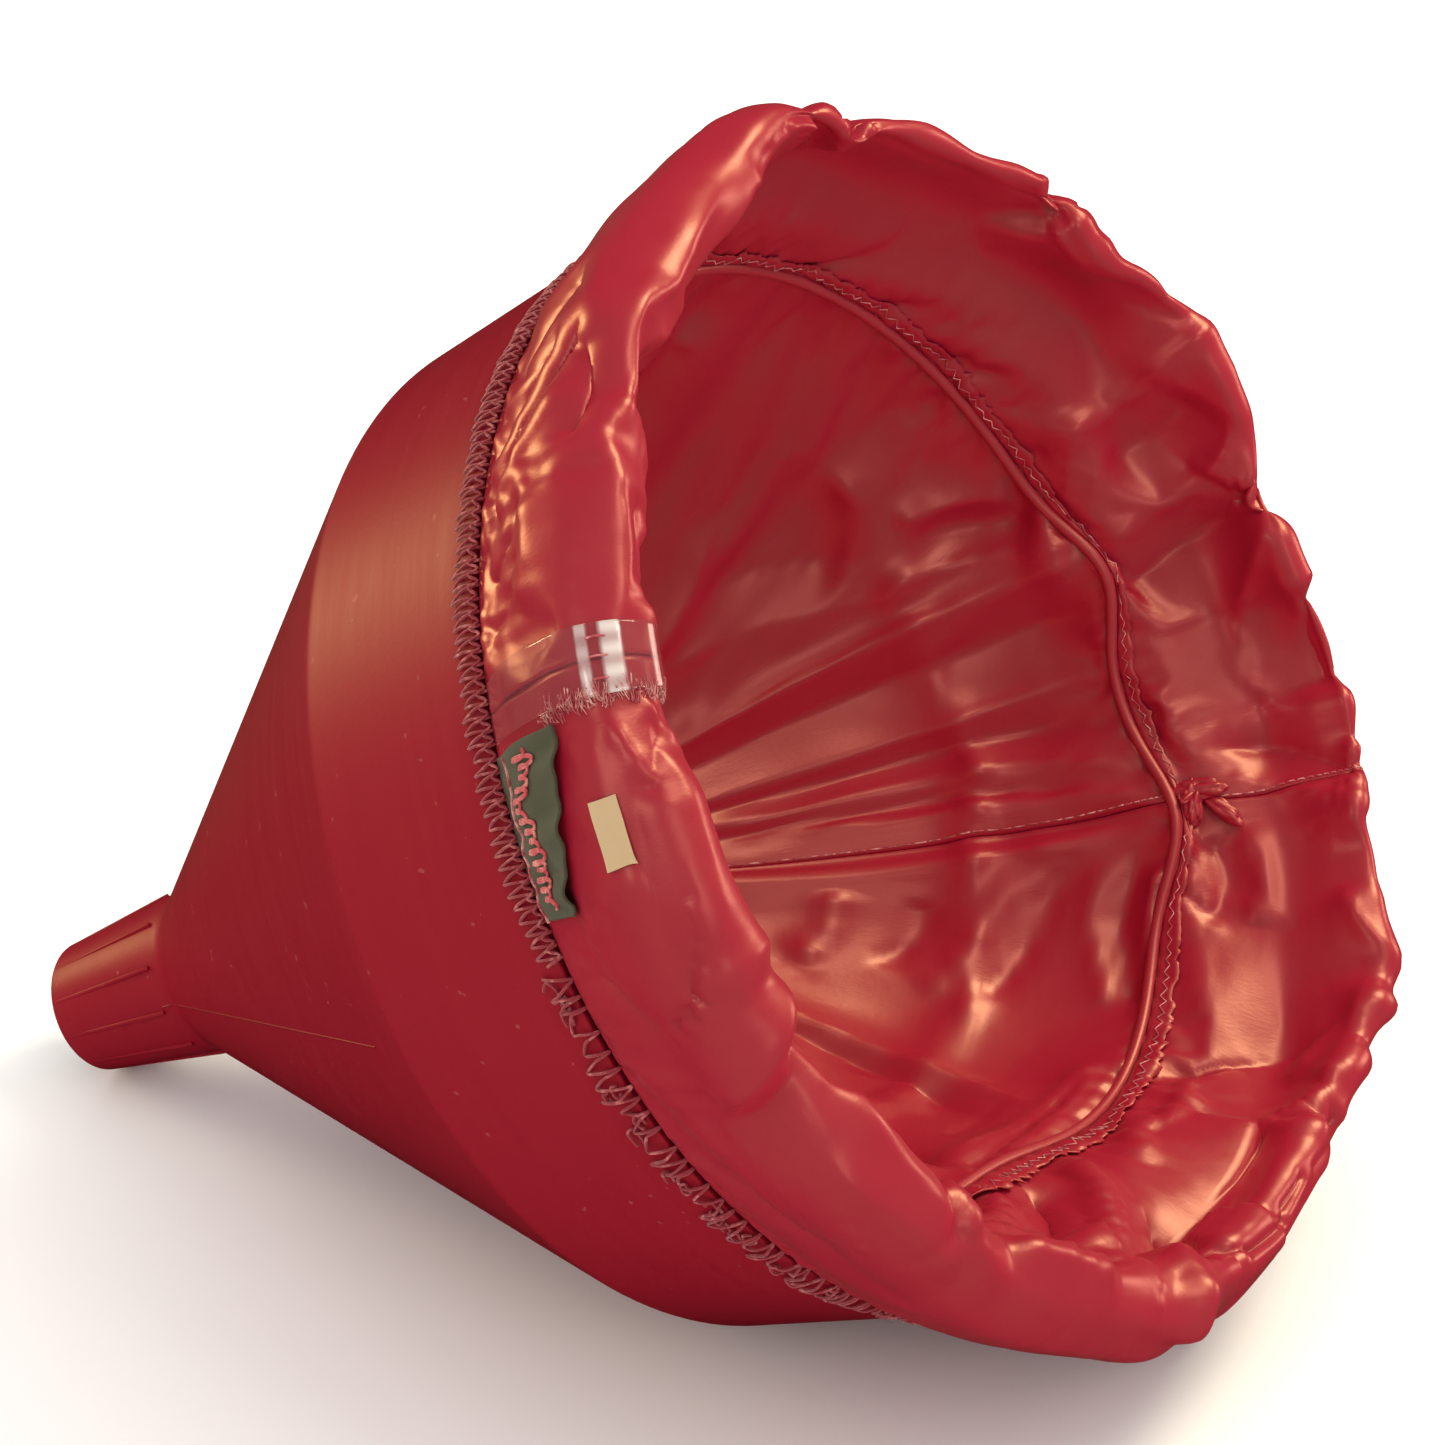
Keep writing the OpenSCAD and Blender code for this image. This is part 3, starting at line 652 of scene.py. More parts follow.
    def gather(self, near: float, reach: float, height: float, pitch: float, seed: int) -> None:
        """Draw the satin into small creases along one of its sewn edges.

        Args:
            near: The edge's station, 0 or 1.
            reach: How far the creases run, as a share of the panel.
            height: Their height.
            pitch: Their mean spacing along the edge, in degrees.
            seed: Seed of their irregular spacing.
        """
        dice = np.random.default_rng(seed)
        angles, stations = self.layout()
        wave = np.zeros_like(angles)
        for _ in range(GATHER_WAVES):
            turns = 360 / pitch * dice.uniform(0.45, 1.5)
            lean = dice.uniform(-3, 3)
            wave += np.sin(np.radians(turns * (angles + lean * abs(stations - near) / reach))
                           + dice.uniform(0, 2 * math.pi))
        wave = np.sign(wave) * np.abs(wave / 3.2) ** 0.8
        depth = abs(stations - near) / (reach * (1 + 0.5 * np.sin(np.radians(angles * 7))))
        self.add(height * wave * np.exp(-depth ** 1.4) * ease(abs(stations - near) / 0.02))

    def crumple(self, height: float, size: float, seed: int) -> None:
        """Add soft shallow unevenness all over.

        Args:
            height: Its height.
            size: The distance from crest to crest.
            seed: Seed of its pattern.
        """
        dice = np.random.default_rng(seed)
        total = np.zeros(self.points.shape[:2])
        for _ in range(CRUMPLE_WAVES):
            way = dice.normal(size=3)
            way /= np.linalg.norm(way)
            total += np.sin(self.points @ way * (2 * math.pi / size) * dice.uniform(0.6, 1.7)
                            + dice.uniform(0, 2 * math.pi))
        stations = self.layout()[1]
        self.add(height * total / 3.5 * ease(stations / 0.06) * ease((1 - stations) / 0.04))

    def keep_clear(self, outside: bool) -> None:
        """Keep the satin off the floor and off the funnel's wall.

        Args:
            outside: Whether the panel lies outside the wall.
        """
        own = HAT.stand(self.points)
        radius = np.linalg.norm(own[..., :2], axis=-1)
        radii, heights = zip(*HAT.sizes.profile)
        wall = np.interp(own[..., 2], heights, radii)
        if outside:
            below = own[..., 2] < 0.0
            goal = np.where(below, np.maximum(radius, wall + 0.9 * MM), radius)
        else:
            inner = wall - HAT.sizes.wall - 1.2 * MM
            goal = np.where(own[..., 2] < 0.0, np.minimum(radius, inner), radius)
        own[..., :2] *= (goal / np.maximum(radius, 1e-9))[..., None]
        self.points = HAT.lay(own)
        self.points[..., 2] = np.maximum(self.points[..., 2], LINING.floor_gap)

    def at(self, angle: np.ndarray, station: np.ndarray, lift: float | np.ndarray = 0.0
           ) -> np.ndarray:
        """Return points on the finished panel, raised by lift.

        Args:
            angle: Angles round the funnel.
            station: Stations along the section.
            lift: Height above the satin's middle.

        Returns:
            Points in the row frame.
        """
        angle, station = np.broadcast_arrays(np.asarray(angle, float), np.asarray(station, float))
        angle = (angle - self.start) % 360.0 + self.start
        x = np.clip((angle - self.start) / (self.end - self.start), 0, 1) * self.columns
        y = np.clip(station, 0, 1) * self.rows
        i, j = np.minimum(x.astype(int), self.columns - 1), np.minimum(y.astype(int), self.rows - 1)
        u, v = (x - i)[..., None], (y - j)[..., None]

        def blended(grid: np.ndarray) -> np.ndarray:
            """Return the grid's values between its four nearest points."""
            low = grid[j, i] * (1 - u) + grid[j, i + 1] * u
            high = grid[j + 1, i] * (1 - u) + grid[j + 1, i + 1] * u
            return low * (1 - v) + high * v

        normal = blended(normals_of(self.points))
        normal /= np.maximum(np.linalg.norm(normal, axis=-1, keepdims=True), 1e-12)
        return blended(self.points) + np.asarray(lift)[..., None] * normal

    def half(self, name: str, start: float, end: float, finish: bpy.types.Material,
             node: str) -> bpy.types.Object:
        """Cut one of the panel's two halves out and make it a piece of cloth.

        Args:
            name: The piece's name.
            start: The angle at which the half begins.
            end: The angle at which it ends.
            finish: Its satin.
            node: The CAD node that it stands for.

        Returns:
            The piece.
        """
        step = (self.end - self.start) / self.columns
        i0, i1 = (round((x - self.start) / step) for x in (start, end))
        cut = self.points[:, i0:i1 + 1].copy()
        for column, inner in ((0, 1), (-1, -2)):
            if 0 < (i0, i1)[column] < self.columns:
                cut[:, column] += 0.08 * (cut[:, inner] - cut[:, column])
        bm = grid_bmesh(cut)
        piece = finish_mesh(name, bm, finish, [node])
        thicken(piece, SATIN_T)
        return piece


# ------------------------------------------------------------------------------- finishes
class Value:
    """A shader socket with arithmetic."""

    def __init__(self, board: "Board", socket: bpy.types.NodeSocket) -> None:
        """Wrap a socket of a board's node."""
        self.board, self.socket = board, socket

    def _with(self, operation: str, first: object, second: object) -> "Value":
        """Return the Math node's result for two values."""
        return self.board.node("ShaderNodeMath", {"operation": operation}, {0: first, 1: second})

    def __add__(self, other: object) -> "Value":
        """Return self + other."""
        return self._with("ADD", self, other)

    def __sub__(self, other: object) -> "Value":
        """Return self - other."""
        return self._with("SUBTRACT", self, other)

    def __rsub__(self, other: object) -> "Value":
        """Return other - self."""
        return self._with("SUBTRACT", other, self)

    def __mul__(self, other: object) -> "Value":
        """Return self * other."""
        return self._with("MULTIPLY", self, other)

    def __truediv__(self, other: object) -> "Value":
        """Return self / other."""
        return self._with("DIVIDE", self, other)

    def function(self, operation: str, other: object = 0.5) -> "Value":
        """Return another of the Math node's operations on self and other."""
        return self._with(operation, self, other)

    def clipped(self, high: float) -> "Value":
        """Return self, held between 0 and high."""
        return self.function("MAXIMUM", 0.0).function("MINIMUM", high)

    __radd__ = __add__
    __rmul__ = __mul__


class Board:
    """One material's nodes."""

    def __init__(self, name: str) -> None:
        """Start an empty material."""
        self.material = bpy.data.materials.new(name)
        self.material.use_nodes = True
        self.tree = self.material.node_tree
        self.tree.nodes.clear()

    def node(self, kind: str, settings: dict[str, object] | None = None,
             inputs: dict[str | int, object] | None = None, output: str | int = 0) -> Value:
        """Add a node.

        Args:
            kind: The node's type.
            settings: Its own settings.
            inputs: Values or links of its sockets.
            output: The output that is handed back.

        Returns:
            That output.
        """
        node = self.tree.nodes.new(kind)
        for key, value in (settings or {}).items():
            setattr(node, key, value)
        for key, value in (inputs or {}).items():
            if isinstance(value, Value):
                self.tree.links.new(value.socket, node.inputs[key])
            else:
                node.inputs[key].default_value = value
        return Value(self, node.outputs[output])

    def place(self, uv: bool) -> Value:
        """Return the piece's UV map or its Object coordinates."""
        return self.node("ShaderNodeTexCoord", output="UV" if uv else "Object")

    def noise(self, where: Value, scale: float, detail: float = 2.0, rough: float = 0.5) -> Value:
        """Return a noise from 0 to 1."""
        return self.node("ShaderNodeTexNoise", {"noise_dimensions": "3D"},
                         {"Vector": where, "Scale": scale, "Detail": detail, "Roughness": rough})

    def stretched(self, where: Value, scale: tuple[float, float, float]) -> Value:
        """Return coordinates scaled along each axis."""
        return self.node("ShaderNodeVectorMath", {"operation": "MULTIPLY"}, {0: where, 1: scale})

    def blend(self, amount: object, first: object, second: object) -> Value:
        """Return a colour between two."""
        return self.node("ShaderNodeMix", {"data_type": "RGBA"},
                         {0: amount, 6: first, 7: second}, 2)

    def bump(self, height: Value, strength: float, distance: float) -> Value:
        """Return a normal raised by height."""
        return self.node("ShaderNodeBump", None,
                         {"Height": height, "Strength": strength, "Distance": distance})

    def skin(self, varying: dict[str, object], fixed: dict[str, object]) -> bpy.types.Material:
        """Finish the material with a Principled shader.

        Args:
            varying: Values that change over the surface.
            fixed: Values that don't.

        Returns:
            The material.
        """
        shader = self.node("ShaderNodeBsdfPrincipled", None, {**fixed, **varying})
        out = self.tree.nodes.new("ShaderNodeOutputMaterial")
        self.tree.links.new(shader.socket, out.inputs["Surface"])
        return self.material


def paint(colour: Colour) -> tuple[float, float, float, float]:
    """Return a colour with its alpha."""
    return (*colour, 1.0)


@dataclass(frozen=True)
class Satin:
    """Red polyester satin."""

    name: str = "red_satin"
    colour: Colour = (0.39, 0.005, 0.028)
    deep: Colour = (0.31, 0.004, 0.022)
    roughness: float = 0.36

    def material(self) -> bpy.types.Material:
        """Return the material."""
        board = Board(self.name)
        place = board.place(False)
        cloud = board.noise(place, 22.0, 3.0)
        tone = board.blend(cloud, paint(self.deep), paint(self.colour))
        threads = board.noise(board.stretched(board.place(True), (700.0, 60.0, 1.0)), 1.0, 2.0)
        slubs = board.noise(place, 520.0, 2.0, 0.6)
        height = threads * 0.5 + slubs * 0.5
        rough = board.noise(place, 60.0, 2.0) * 0.12 + (self.roughness - 0.06)
        return board.skin(
            {"Base Color": tone, "Roughness": rough,
             "Normal": board.bump(height, 0.12, 0.0004)},
            {"Specular IOR Level": 1.0, "IOR": 1.75, "Specular Tint": paint((1.0, 0.48, 0.36)),
             "Sheen Weight": 0.03, "Sheen Roughness": 0.4,
             "Sheen Tint": paint((1.0, 0.45, 0.35))})


@dataclass(frozen=True)
class MouldedPlastic:
    """Red moulded polypropylene, with fine streaks of wear round the funnel."""

    name: str = "red_moulding"
    colour: Colour = (0.23, 0.002, 0.013)
    worn: Colour = (0.275, 0.005, 0.017)

    def material(self) -> bpy.types.Material:
        """Return the material."""
        board = Board(self.name)
        place = board.place(False)
        turned = board.node("ShaderNodeMapping", {"vector_type": "TEXTURE"},
                            {"Vector": place, "Location": (HAT.shift_x, HAT.shift_y, HAT.axis_h),
                             "Rotation": (0.0, math.pi / 2 - HAT.tilt, 0.0)})
        streaks = board.noise(board.stretched(turned, (26.0, 26.0, 420.0)), 1.0, 4.0, 0.6)
        cloud = board.noise(place, 14.0, 3.0)
        grain = board.noise(place, 900.0, 2.0)
        specks = board.noise(place, 420.0, 1.0).function("GREATER_THAN", 0.765)
        tone = board.blend(streaks * 0.6 + cloud * 0.4, paint(self.colour), paint(self.worn))
        dusted = board.blend(specks * 0.16, tone, paint((0.55, 0.20, 0.16)))
        rough = streaks * 0.10 + cloud * 0.08 + 0.34
        return board.skin(
            {"Base Color": dusted, "Roughness": rough,
             "Normal": board.bump(streaks * 0.6 + grain * 0.4, 0.12, 0.0004)},
            {"Specular IOR Level": 0.22, "Specular Tint": paint((1.0, 0.55, 0.34))})


@dataclass(frozen=True)
class Thread:
    """Sewing thread, twisted, with pale pink patches painted at random into its colour as
    highlights.
    """

    name: str = "red_sewing_thread"
    colour: Colour = (0.42, 0.035, 0.05)
    painted_highlight: Colour = (0.72, 0.30, 0.28)
    painted_highlight_share: float = 0.55

    def material(self) -> bpy.types.Material:
        """Return the material."""
        board = Board(self.name)
        place = board.place(False)
        # Painted highlights: pale pink patches scattered by noise over the thread's colour.
        patches = board.noise(place, 520.0, 2.0, 0.6)
        amount = (patches - (1.0 - self.painted_highlight_share)) * 5.0
        tone = board.blend(amount.clipped(1.0), paint(self.colour), paint(self.painted_highlight))
        twist = board.noise(place, 2600.0, 1.0)
        return board.skin({"Base Color": tone, "Roughness": patches * 0.2 + 0.45,
                           "Normal": board.bump(twist, 0.4, 0.0002)},
                          {"Specular IOR Level": 0.4, "Sheen Weight": 0.25})


@dataclass(frozen=True)
class Weave:
    """A plain woven tape or label."""

    name: str
    warp: Colour
    weft: Colour
    count: float = 160.0
    roughness: float = 0.75

    def material(self) -> bpy.types.Material:
        """Return the material."""
        board = Board(self.name)
        uv = board.place(True)
        ribs = board.node("ShaderNodeTexWave", {"bands_direction": "X"},
                          {"Vector": uv, "Scale": self.count, "Distortion": 0.6})
        picks = board.node("ShaderNodeTexWave", {"bands_direction": "Y"},
                           {"Vector": uv, "Scale": self.count * 0.45, "Distortion": 0.6})
        fade = board.noise(board.place(False), 110.0, 3.0)
        ribs_value = board.node("ShaderNodeRGBToBW", None, {0: ribs})
        picks_value = board.node("ShaderNodeRGBToBW", None, {0: picks})
        mixed = ribs_value * 0.5 + picks_value * 0.5
        tone = board.blend(mixed * 0.5 + fade * 0.5, paint(self.warp), paint(self.weft))
        return board.skin({"Base Color": tone, "Roughness": fade * 0.1 + self.roughness,
                           "Normal": board.bump(mixed, 0.35, 0.0003)},
                          {"Specular IOR Level": 0.3, "Sheen Weight": 0.1})


@dataclass(frozen=True)
class ClearFilm:
    """Clear polyurethane tape, with painted glare: its colour whitened and its opacity raised in
    two bands where it runs over the brim's crest.
    """

    name: str = "clear_tape"
    alpha: float = 0.22
    # creases: the bands of painted glare, each as its middle, half width and strength along the
    # strip's UV.
    creases: tuple[tuple[float, float, float], ...] = ((0.626, 0.045, 1.0), (0.525, 0.026, 0.7))

    def material(self) -> bpy.types.Material:
        """Return the material."""
        board = Board(self.name)
        scuffs = board.noise(board.place(False), 240.0, 3.0)
        across, along = (board.node("ShaderNodeSeparateXYZ", None, {0: board.place(True)}, axis)
                         for axis in ("X", "Y"))
        # Painted glare: white mixed into the colour and opacity, standing in for the lamps'
        # reflection on the film.
        painted_glare = 0.0
        for middle, half, strength in self.creases:
            near = 1.0 - (along - middle).function("ABSOLUTE") / half
            painted_glare = near.clipped(0.4) * (2.5 * strength) + painted_glare
        painted_glare = painted_glare * ((across * 20.0).function("SINE") * 0.18 + 0.80)
        tone = board.blend(scuffs, paint((0.40, 0.06, 0.08)), paint((0.50, 0.12, 0.13)))
        return board.skin({"Base Color": board.blend(painted_glare, tone, paint((0.92, 0.80, 0.74))),
                           "Roughness": scuffs * 0.08 + 0.08, "Alpha": painted_glare * 0.62 + self.alpha},
                          {"Specular IOR Level": 1.0, "Coat Weight": 1.0,
                           "Coat Roughness": 0.06, "IOR": 2.0})


# ------------------------------------------------------------------------------- pieces
@dataclass
class FunnelMoulding:
    """The plastic funnel, in one moulding."""

    sizes: FunnelSizes = field(default_factory=FunnelSizes)
    steps: int = 180
    rib_inset: float = 0.6 * MM
    first_rib: float = 272
    parting_angles: tuple[float, float] = (88.0, 268.0)

    @staticmethod
    def rounded(corners: Sequence[tuple[float, float, float]]) -> list[tuple[float, float]]:
        """Return a closed outline whose corners (radius, height, rounding) are rounded."""
        outline = []
        for i, (r, z, bend) in enumerate(corners):
            here = Vector((r, z))
            before, after = (Vector(corners[k % len(corners)][:2]) for k in (i - 1, i + 1))
            a = here + (before - here).normalized() * bend
            b = here + (after - here).normalized() * bend
            outline += [tuple(a.lerp(here, t).lerp(here.lerp(b, t), t))
                        for t in (0.0, 0.25, 0.5, 0.75, 1.0)]
        return outline

    def wall_mesh(self) -> bmesh.types.BMesh:
        """Return the funnel's wall, spun round its axis, in its own frame."""
        s = self.sizes
        outline = self.rounded([
            (s.tip_r, -s.tip_depth, 0.9 * MM), (s.neck_r, -s.neck_depth, 2.0 * MM),
            (s.ring_r, -s.ring_depth, 1.4 * MM), (s.rim_r, 0, 0.7 * MM),
            (s.rim_r - s.wall, 0, 0.7 * MM),
            (s.ring_r - s.wall, s.wall / 2 - s.ring_depth, 1.0 * MM),
            (s.neck_r - s.wall, s.wall / 2 - s.neck_depth, 1.5 * MM),
            (s.tip_r - s.wall, -s.tip_depth, 0.9 * MM)])
        bm = bmesh.new()
        verts = [bm.verts.new((r, 0, z)) for r, z in outline]
        edges = [bm.edges.new((a, b)) for a, b in zip(verts, verts[1:] + verts[:1])]
        bmesh.ops.subdivide_edges(bm, edges=[e for e in edges if e.calc_length() > 20 * MM],
                                  cuts=5)
        bmesh.ops.spin(bm, geom=bm.verts[:] + bm.edges[:], cent=(0, 0, 0), axis=(0, 0, 1),
                       angle=math.tau, steps=self.steps, use_merge=True)
        bmesh.ops.recalc_face_normals(bm, faces=bm.faces[:])
        return bm

    def bar(self, bm: bmesh.types.BMesh, low: float, high: float, width: float, proud: float,
            angle: float, lead: float = 0.0) -> None:
        """Add a bar that stands proud of the wall between two heights.

        Args:
            bm: The mesh that it is added to.
            low: Its lower end's height.
            high: Its upper end's height.
            width: Its width.
            proud: How far it stands out.
            angle: Its angle round the funnel.
            lead: The length over which it fades in at its lower end; 0 leaves that end square.
        """
        one = bmesh.new()
        made = bmesh.ops.create_cube(one, size=1.0)["verts"]
        for vert in made:
            z = high if vert.co.z > 0 else low
            outer = vert.co.x > 0
            sink = proud * (0.0 if vert.co.z > 0 or not lead else 1.0)
            r = self.sizes.outer_r(z) + (proud - sink if outer else -0.6 * MM)
            vert.co = (r, vert.co.y * width * (0.55 if outer else 1.0), z)
        edges = {e for v in made for e in v.link_edges if len({x in made for x in e.verts}) == 1}
        bmesh.ops.bevel(one, geom=list(edges), offset=0.18 * MM, segments=2, affect="EDGES",
                        profile=0.5, material=-1)
        bmesh.ops.rotate(one, cent=(0, 0, 0), verts=one.verts[:],
                         matrix=Matrix.Rotation(math.radians(angle), 3, "Z"))
        join(bm, one)

    def build(self, plastic: bpy.types.Material) -> bpy.types.Object:
        """Build the moulding with its ribs and parting ridges."""
        bm, bars, s = self.wall_mesh(), bmesh.new(), self.sizes
        top = -s.neck_depth - s.rib_stop
        for i in range(s.rib_count):
            self.bar(bars, self.rib_inset - s.tip_depth, top, s.rib_w, s.rib_h,
                     self.first_rib + i * 360 / s.rib_count, s.rib_lead)
        for angle in self.parting_angles:
            for low, high in ((-s.neck_depth, -s.ring_depth - 12 * MM), (top, -s.neck_depth)):
                self.bar(bars, low, high, 0.5 * MM, 0.25 * MM, angle)
        join(bm, bars)
        bmesh.ops.transform(bm, matrix=HAT.matrix, verts=bm.verts[:])
        return finish_mesh("funnel_moulding", bm, plastic, ["funnel_shell"])


def join(bm: bmesh.types.BMesh, other: bmesh.types.BMesh) -> None:
    """Add another bmesh's geometry to bm, and free it."""
    mesh = bpy.data.meshes.new("joining")
    other.to_mesh(mesh)
    other.free()
    bm.from_mesh(mesh)
    bpy.data.meshes.remove(mesh)


@dataclass
class Lining:
    """The satin brim and crown lining."""

    sizes: LiningSizes = field(default_factory=LiningSizes)
    band: SatinPanel = field(init=False)
    crown: SatinPanel = field(init=False)

    def __post_init__(self) -> None:
        """Lay out both rings of satin, each open at the back."""
        s = self.sizes
        start, end = s.span
        self.band = SatinPanel(s.band, BAND_FOLDS, start, end, 400, 54)
        self.crown = SatinPanel(s.crown, CROWN_FOLDS, start - 0.10, end + 0.10, 300, 46)

    def settle(self) -> None:
        """Fold, relax and gather both rings."""
        self.band.fold()
        self.band.relax(fullness=0.022, frames=22, reach=2.0 * MM, calm=0.75)
        self.band.refine()
        self.band.gather(near=0.0, reach=0.20, height=0.20 * MM, pitch=3.4, seed=3)
        self.band.gather(near=1.0, reach=0.10, height=0.30 * MM, pitch=4.2, seed=5)
        self.band.crumple(height=0.12 * MM, size=24 * MM, seed=7)
        self.band.keep_clear(outside=True)
        self.crown.fold()
        self.crown.relax(fullness=0.018, frames=20, reach=2.0 * MM)
        self.crown.refine()
        self.crown.gather(near=0.0, reach=0.08, height=0.35 * MM, pitch=4.8, seed=11)
        self.crown.crumple(height=0.10 * MM, size=28 * MM, seed=13)
        self.crown.keep_clear(outside=False)

    def build(self, satin: bpy.types.Material) -> list[bpy.types.Object]:
        """Build the two halves of the band and of the crown."""
        seam, (start, end) = self.sizes.seam_angle, self.sizes.span
        made = [panel.half(f"{name}_{side}", *cut, satin, f"{node}_{side}")
                for panel, name, node in ((self.band, "brim_satin", "side_band"),
                                          (self.crown, "crown_satin", "crown_panel"))
                for side, cut in (("top", (seam, end)), ("bottom", (start, seam)))]
        return made


@dataclass
class Piping:
    """The covered piping between crown and band, with its raw seam allowance."""

    lining: Lining
    sizes: LiningSizes = field(default_factory=LiningSizes)
    core_d: float = 1.4 * MM
    allowance_w: float = 4 * MM
    section_len: float = 0.0885
    seed: int = 21

    def line(self, step: float = 1.5) -> np.ndarray:
        """Return the piping's centre line in the row frame."""
        a = np.arange(0, 360, step)
        return HAT.lay(HAT.round(self.sizes.piping_r(a), a, self.sizes.piping_z(a)))

    def cover(self, satin: bpy.types.Material) -> bpy.types.Object:
        """Build the satin tube round the cord."""
        bm = tube_mesh([self.line()], self.sizes.piping_d / 2, sides=6, closed=True)
        return finish_mesh("piping_satin", bm, satin, ["piping_cover"])

    def cord(self, cotton: bpy.types.Material) -> bpy.types.Object:
        """Build the cotton cord inside the tube."""
        bm = tube_mesh([self.line()], self.core_d / 2, sides=4, closed=True)
        return finish_mesh("piping_cord", bm, cotton, ["piping_core"])

    def allowance(self, satin: bpy.types.Material) -> bpy.types.Object:
        """Build the frayed allowance that stands up beside the piping."""
        dice = np.random.default_rng(self.seed)
        s, columns, rows = self.sizes, 700, 4
        angle = np.linspace(s.back_angle - 359, s.back_angle - 1, columns + 1)
        wave = np.convolve(dice.normal(size=columns + 41), np.hanning(41) / 8, "valid")
        wave = wave[:columns + 1]
        fray = dice.uniform(0.0, 0.012, columns + 1)
        top = 0.995 - (self.allowance_w / self.section_len) * (1 + 0.12 * wave) - fray
        u = np.linspace(0, 1, rows + 1)[:, None]
        station = 0.993 * (1 - u) + top * u
        lift = MM * (0.40 + (0.2 + 0.45 * np.abs(wave)) * u)
        points = self.lining.band.at(angle + 0 * station, station, lift)
        bm = grid_bmesh(points[::-1])
        piece = finish_mesh("piping_allowance_satin", bm, satin, ["piping_allowance"])
        thicken(piece, SATIN_T)
        return piece

    def stitches(self, thread: bpy.types.Material) -> bpy.types.Object:
        """Build the zigzag of thread along the allowance."""
        s = self.sizes
        angle = np.arange(s.back_angle - 358.4, s.back_angle - 1.6, 0.8)
        side = np.where(np.arange(len(angle)) % 2, 0.972, 0.958)
        path = self.lining.band.at(angle, side, 0.95 * MM)
        bm = tube_mesh([path], 0.11 * MM)
        return finish_mesh("piping_zigzag", bm, thread, ["piping_stitches"])


class StitchWork(Enum):
    """The two ways in which the rim is sewn."""

    MACHINE = "machine"
    HAND = "hand"


@dataclass
class RimThread:
    """Thread overcast over the funnel's rim."""

    work: StitchWork
    start: float
    end: float
    pitch: float = 2.35 * MM
    depth: float = 4.6 * MM
    radius: float = 0.27 * MM
    seed: int = 31

    def paths(self) -> list[np.ndarray]:
        """Return the thread's lines in the row frame."""
        dice = np.random.default_rng(self.seed)
        rim, by_hand = HAT.sizes.rim_r, self.work is StitchWork.HAND
        pitch = math.degrees(self.pitch / rim) * (1.5 if by_hand else 1.0)
        count = int((self.end - self.start) / pitch)
        loose = 0.38 if by_hand else 0.12
        knots, tops = [], []
        for i in range(count):
            a = self.start + (i + dice.uniform(-loose, loose) * 0.6) * pitch
            depth = self.depth * (1 + dice.uniform(-loose, loose) * 1.2)
            across = pitch * (0.55 + dice.uniform(-loose, loose))
            off = (0.30 + (0.6 if by_hand else 0.2) * dice.random()) * MM
            foot = HAT.sizes.outer_r(-depth) + off
            knots += [(foot, a, -depth),
                      (rim + 0.40 * MM + off * 0.6, a + across * 0.10, -0.55 * depth),
                      (rim + 0.55 * MM, a + across * 0.3, -0.3 * MM),
                      (rim - 0.1 * MM, a + across * 0.45, 1.2 * MM),
                      (rim + 0.75 * MM, a + across * 0.7, -0.2 * MM),
                      (rim + 0.45 * MM + off * 0.5, a + across * 1.1, -0.5 * depth)]
            tops += [(rim + 0.5 * MM, a, 0.9 * MM + 0.5 * MM * dice.random()),
                     (rim + 1.1 * MM, a + pitch * 0.5, 0.1 * MM - 0.5 * MM * dice.random())]
        lines = [knots, tops] if not by_hand else [knots]
        if by_hand:
            for _ in range(int(count * 0.9)):
                a, z = dice.uniform(self.start, self.end), -dice.uniform(0.2, 1.1) * self.depth
                r, turn = HAT.sizes.outer_r(z) + 0.5 * MM, dice.uniform(0, 6.28)
                size = dice.uniform(0.6, 1.3)
                lines.append([(r + 0.5 * MM * math.sin(t * 1.5) ** 2,
                               a + size * 0.9 * math.cos(t + turn),
                               z + size * MM * math.sin(t + turn)) for t in np.linspace(0, 5.2, 9)])
        made = []
        for line in lines:
            r, a, z = (np.array(x) for x in zip(*line))
            made.append(HAT.lay(HAT.round(*smooth_path(np.stack([r, a, z], axis=1), 3).T)))
        return made

    def build(self, name: str, thread: bpy.types.Material, node: str) -> bpy.types.Object:
        """Build the overcast as a piece."""
        return finish_mesh(name, tube_mesh(self.paths(), self.radius), thread,
                           [node])


@dataclass
class SeamThreads:
    """Fine stitches along the seams of the crown and of the band."""

    lining: Lining
    radius: float = 0.14 * MM

    def dashes(self, panel: SatinPanel, angle: Callable[[np.ndarray], np.ndarray], start: float,
               end: float, pitch: float, lift: float) -> list[np.ndarray]:
        """Return short stitches along a line of stations."""
        marks = np.arange(start, end, pitch)
        return [panel.at(angle(t), t, np.array([0.05 * MM, lift, lift, 0.05 * MM]))
                for t in (m + pitch * np.array([0.0, 0.12, 0.62, 0.74]) for m in marks)]

    def build(self, thread: bpy.types.Material) -> list[bpy.types.Object]:
        """Build both sets of seam stitches."""
        s = self.lining.sizes
        crown = []
        for seam in (s.seam_angle, s.back_angle):
            crown += self.dashes(self.lining.crown, lambda t, a=seam: a + 0.9 + 0 * t, 0.02, 0.80,
                                 0.017, 0.32 * MM)
        band = self.dashes(self.lining.band, lambda t: s.seam_angle + 0.6 + 0 * t, 0.04, 0.86,
                           0.02, 0.32 * MM)
        return [
            finish_mesh("crown_seam_thread", tube_mesh(crown, self.radius), thread,
                        ["crown_seam_stitches"]),
            finish_mesh("band_seam_thread", tube_mesh(band, self.radius), thread,
                        ["band_seam_stitches"])]


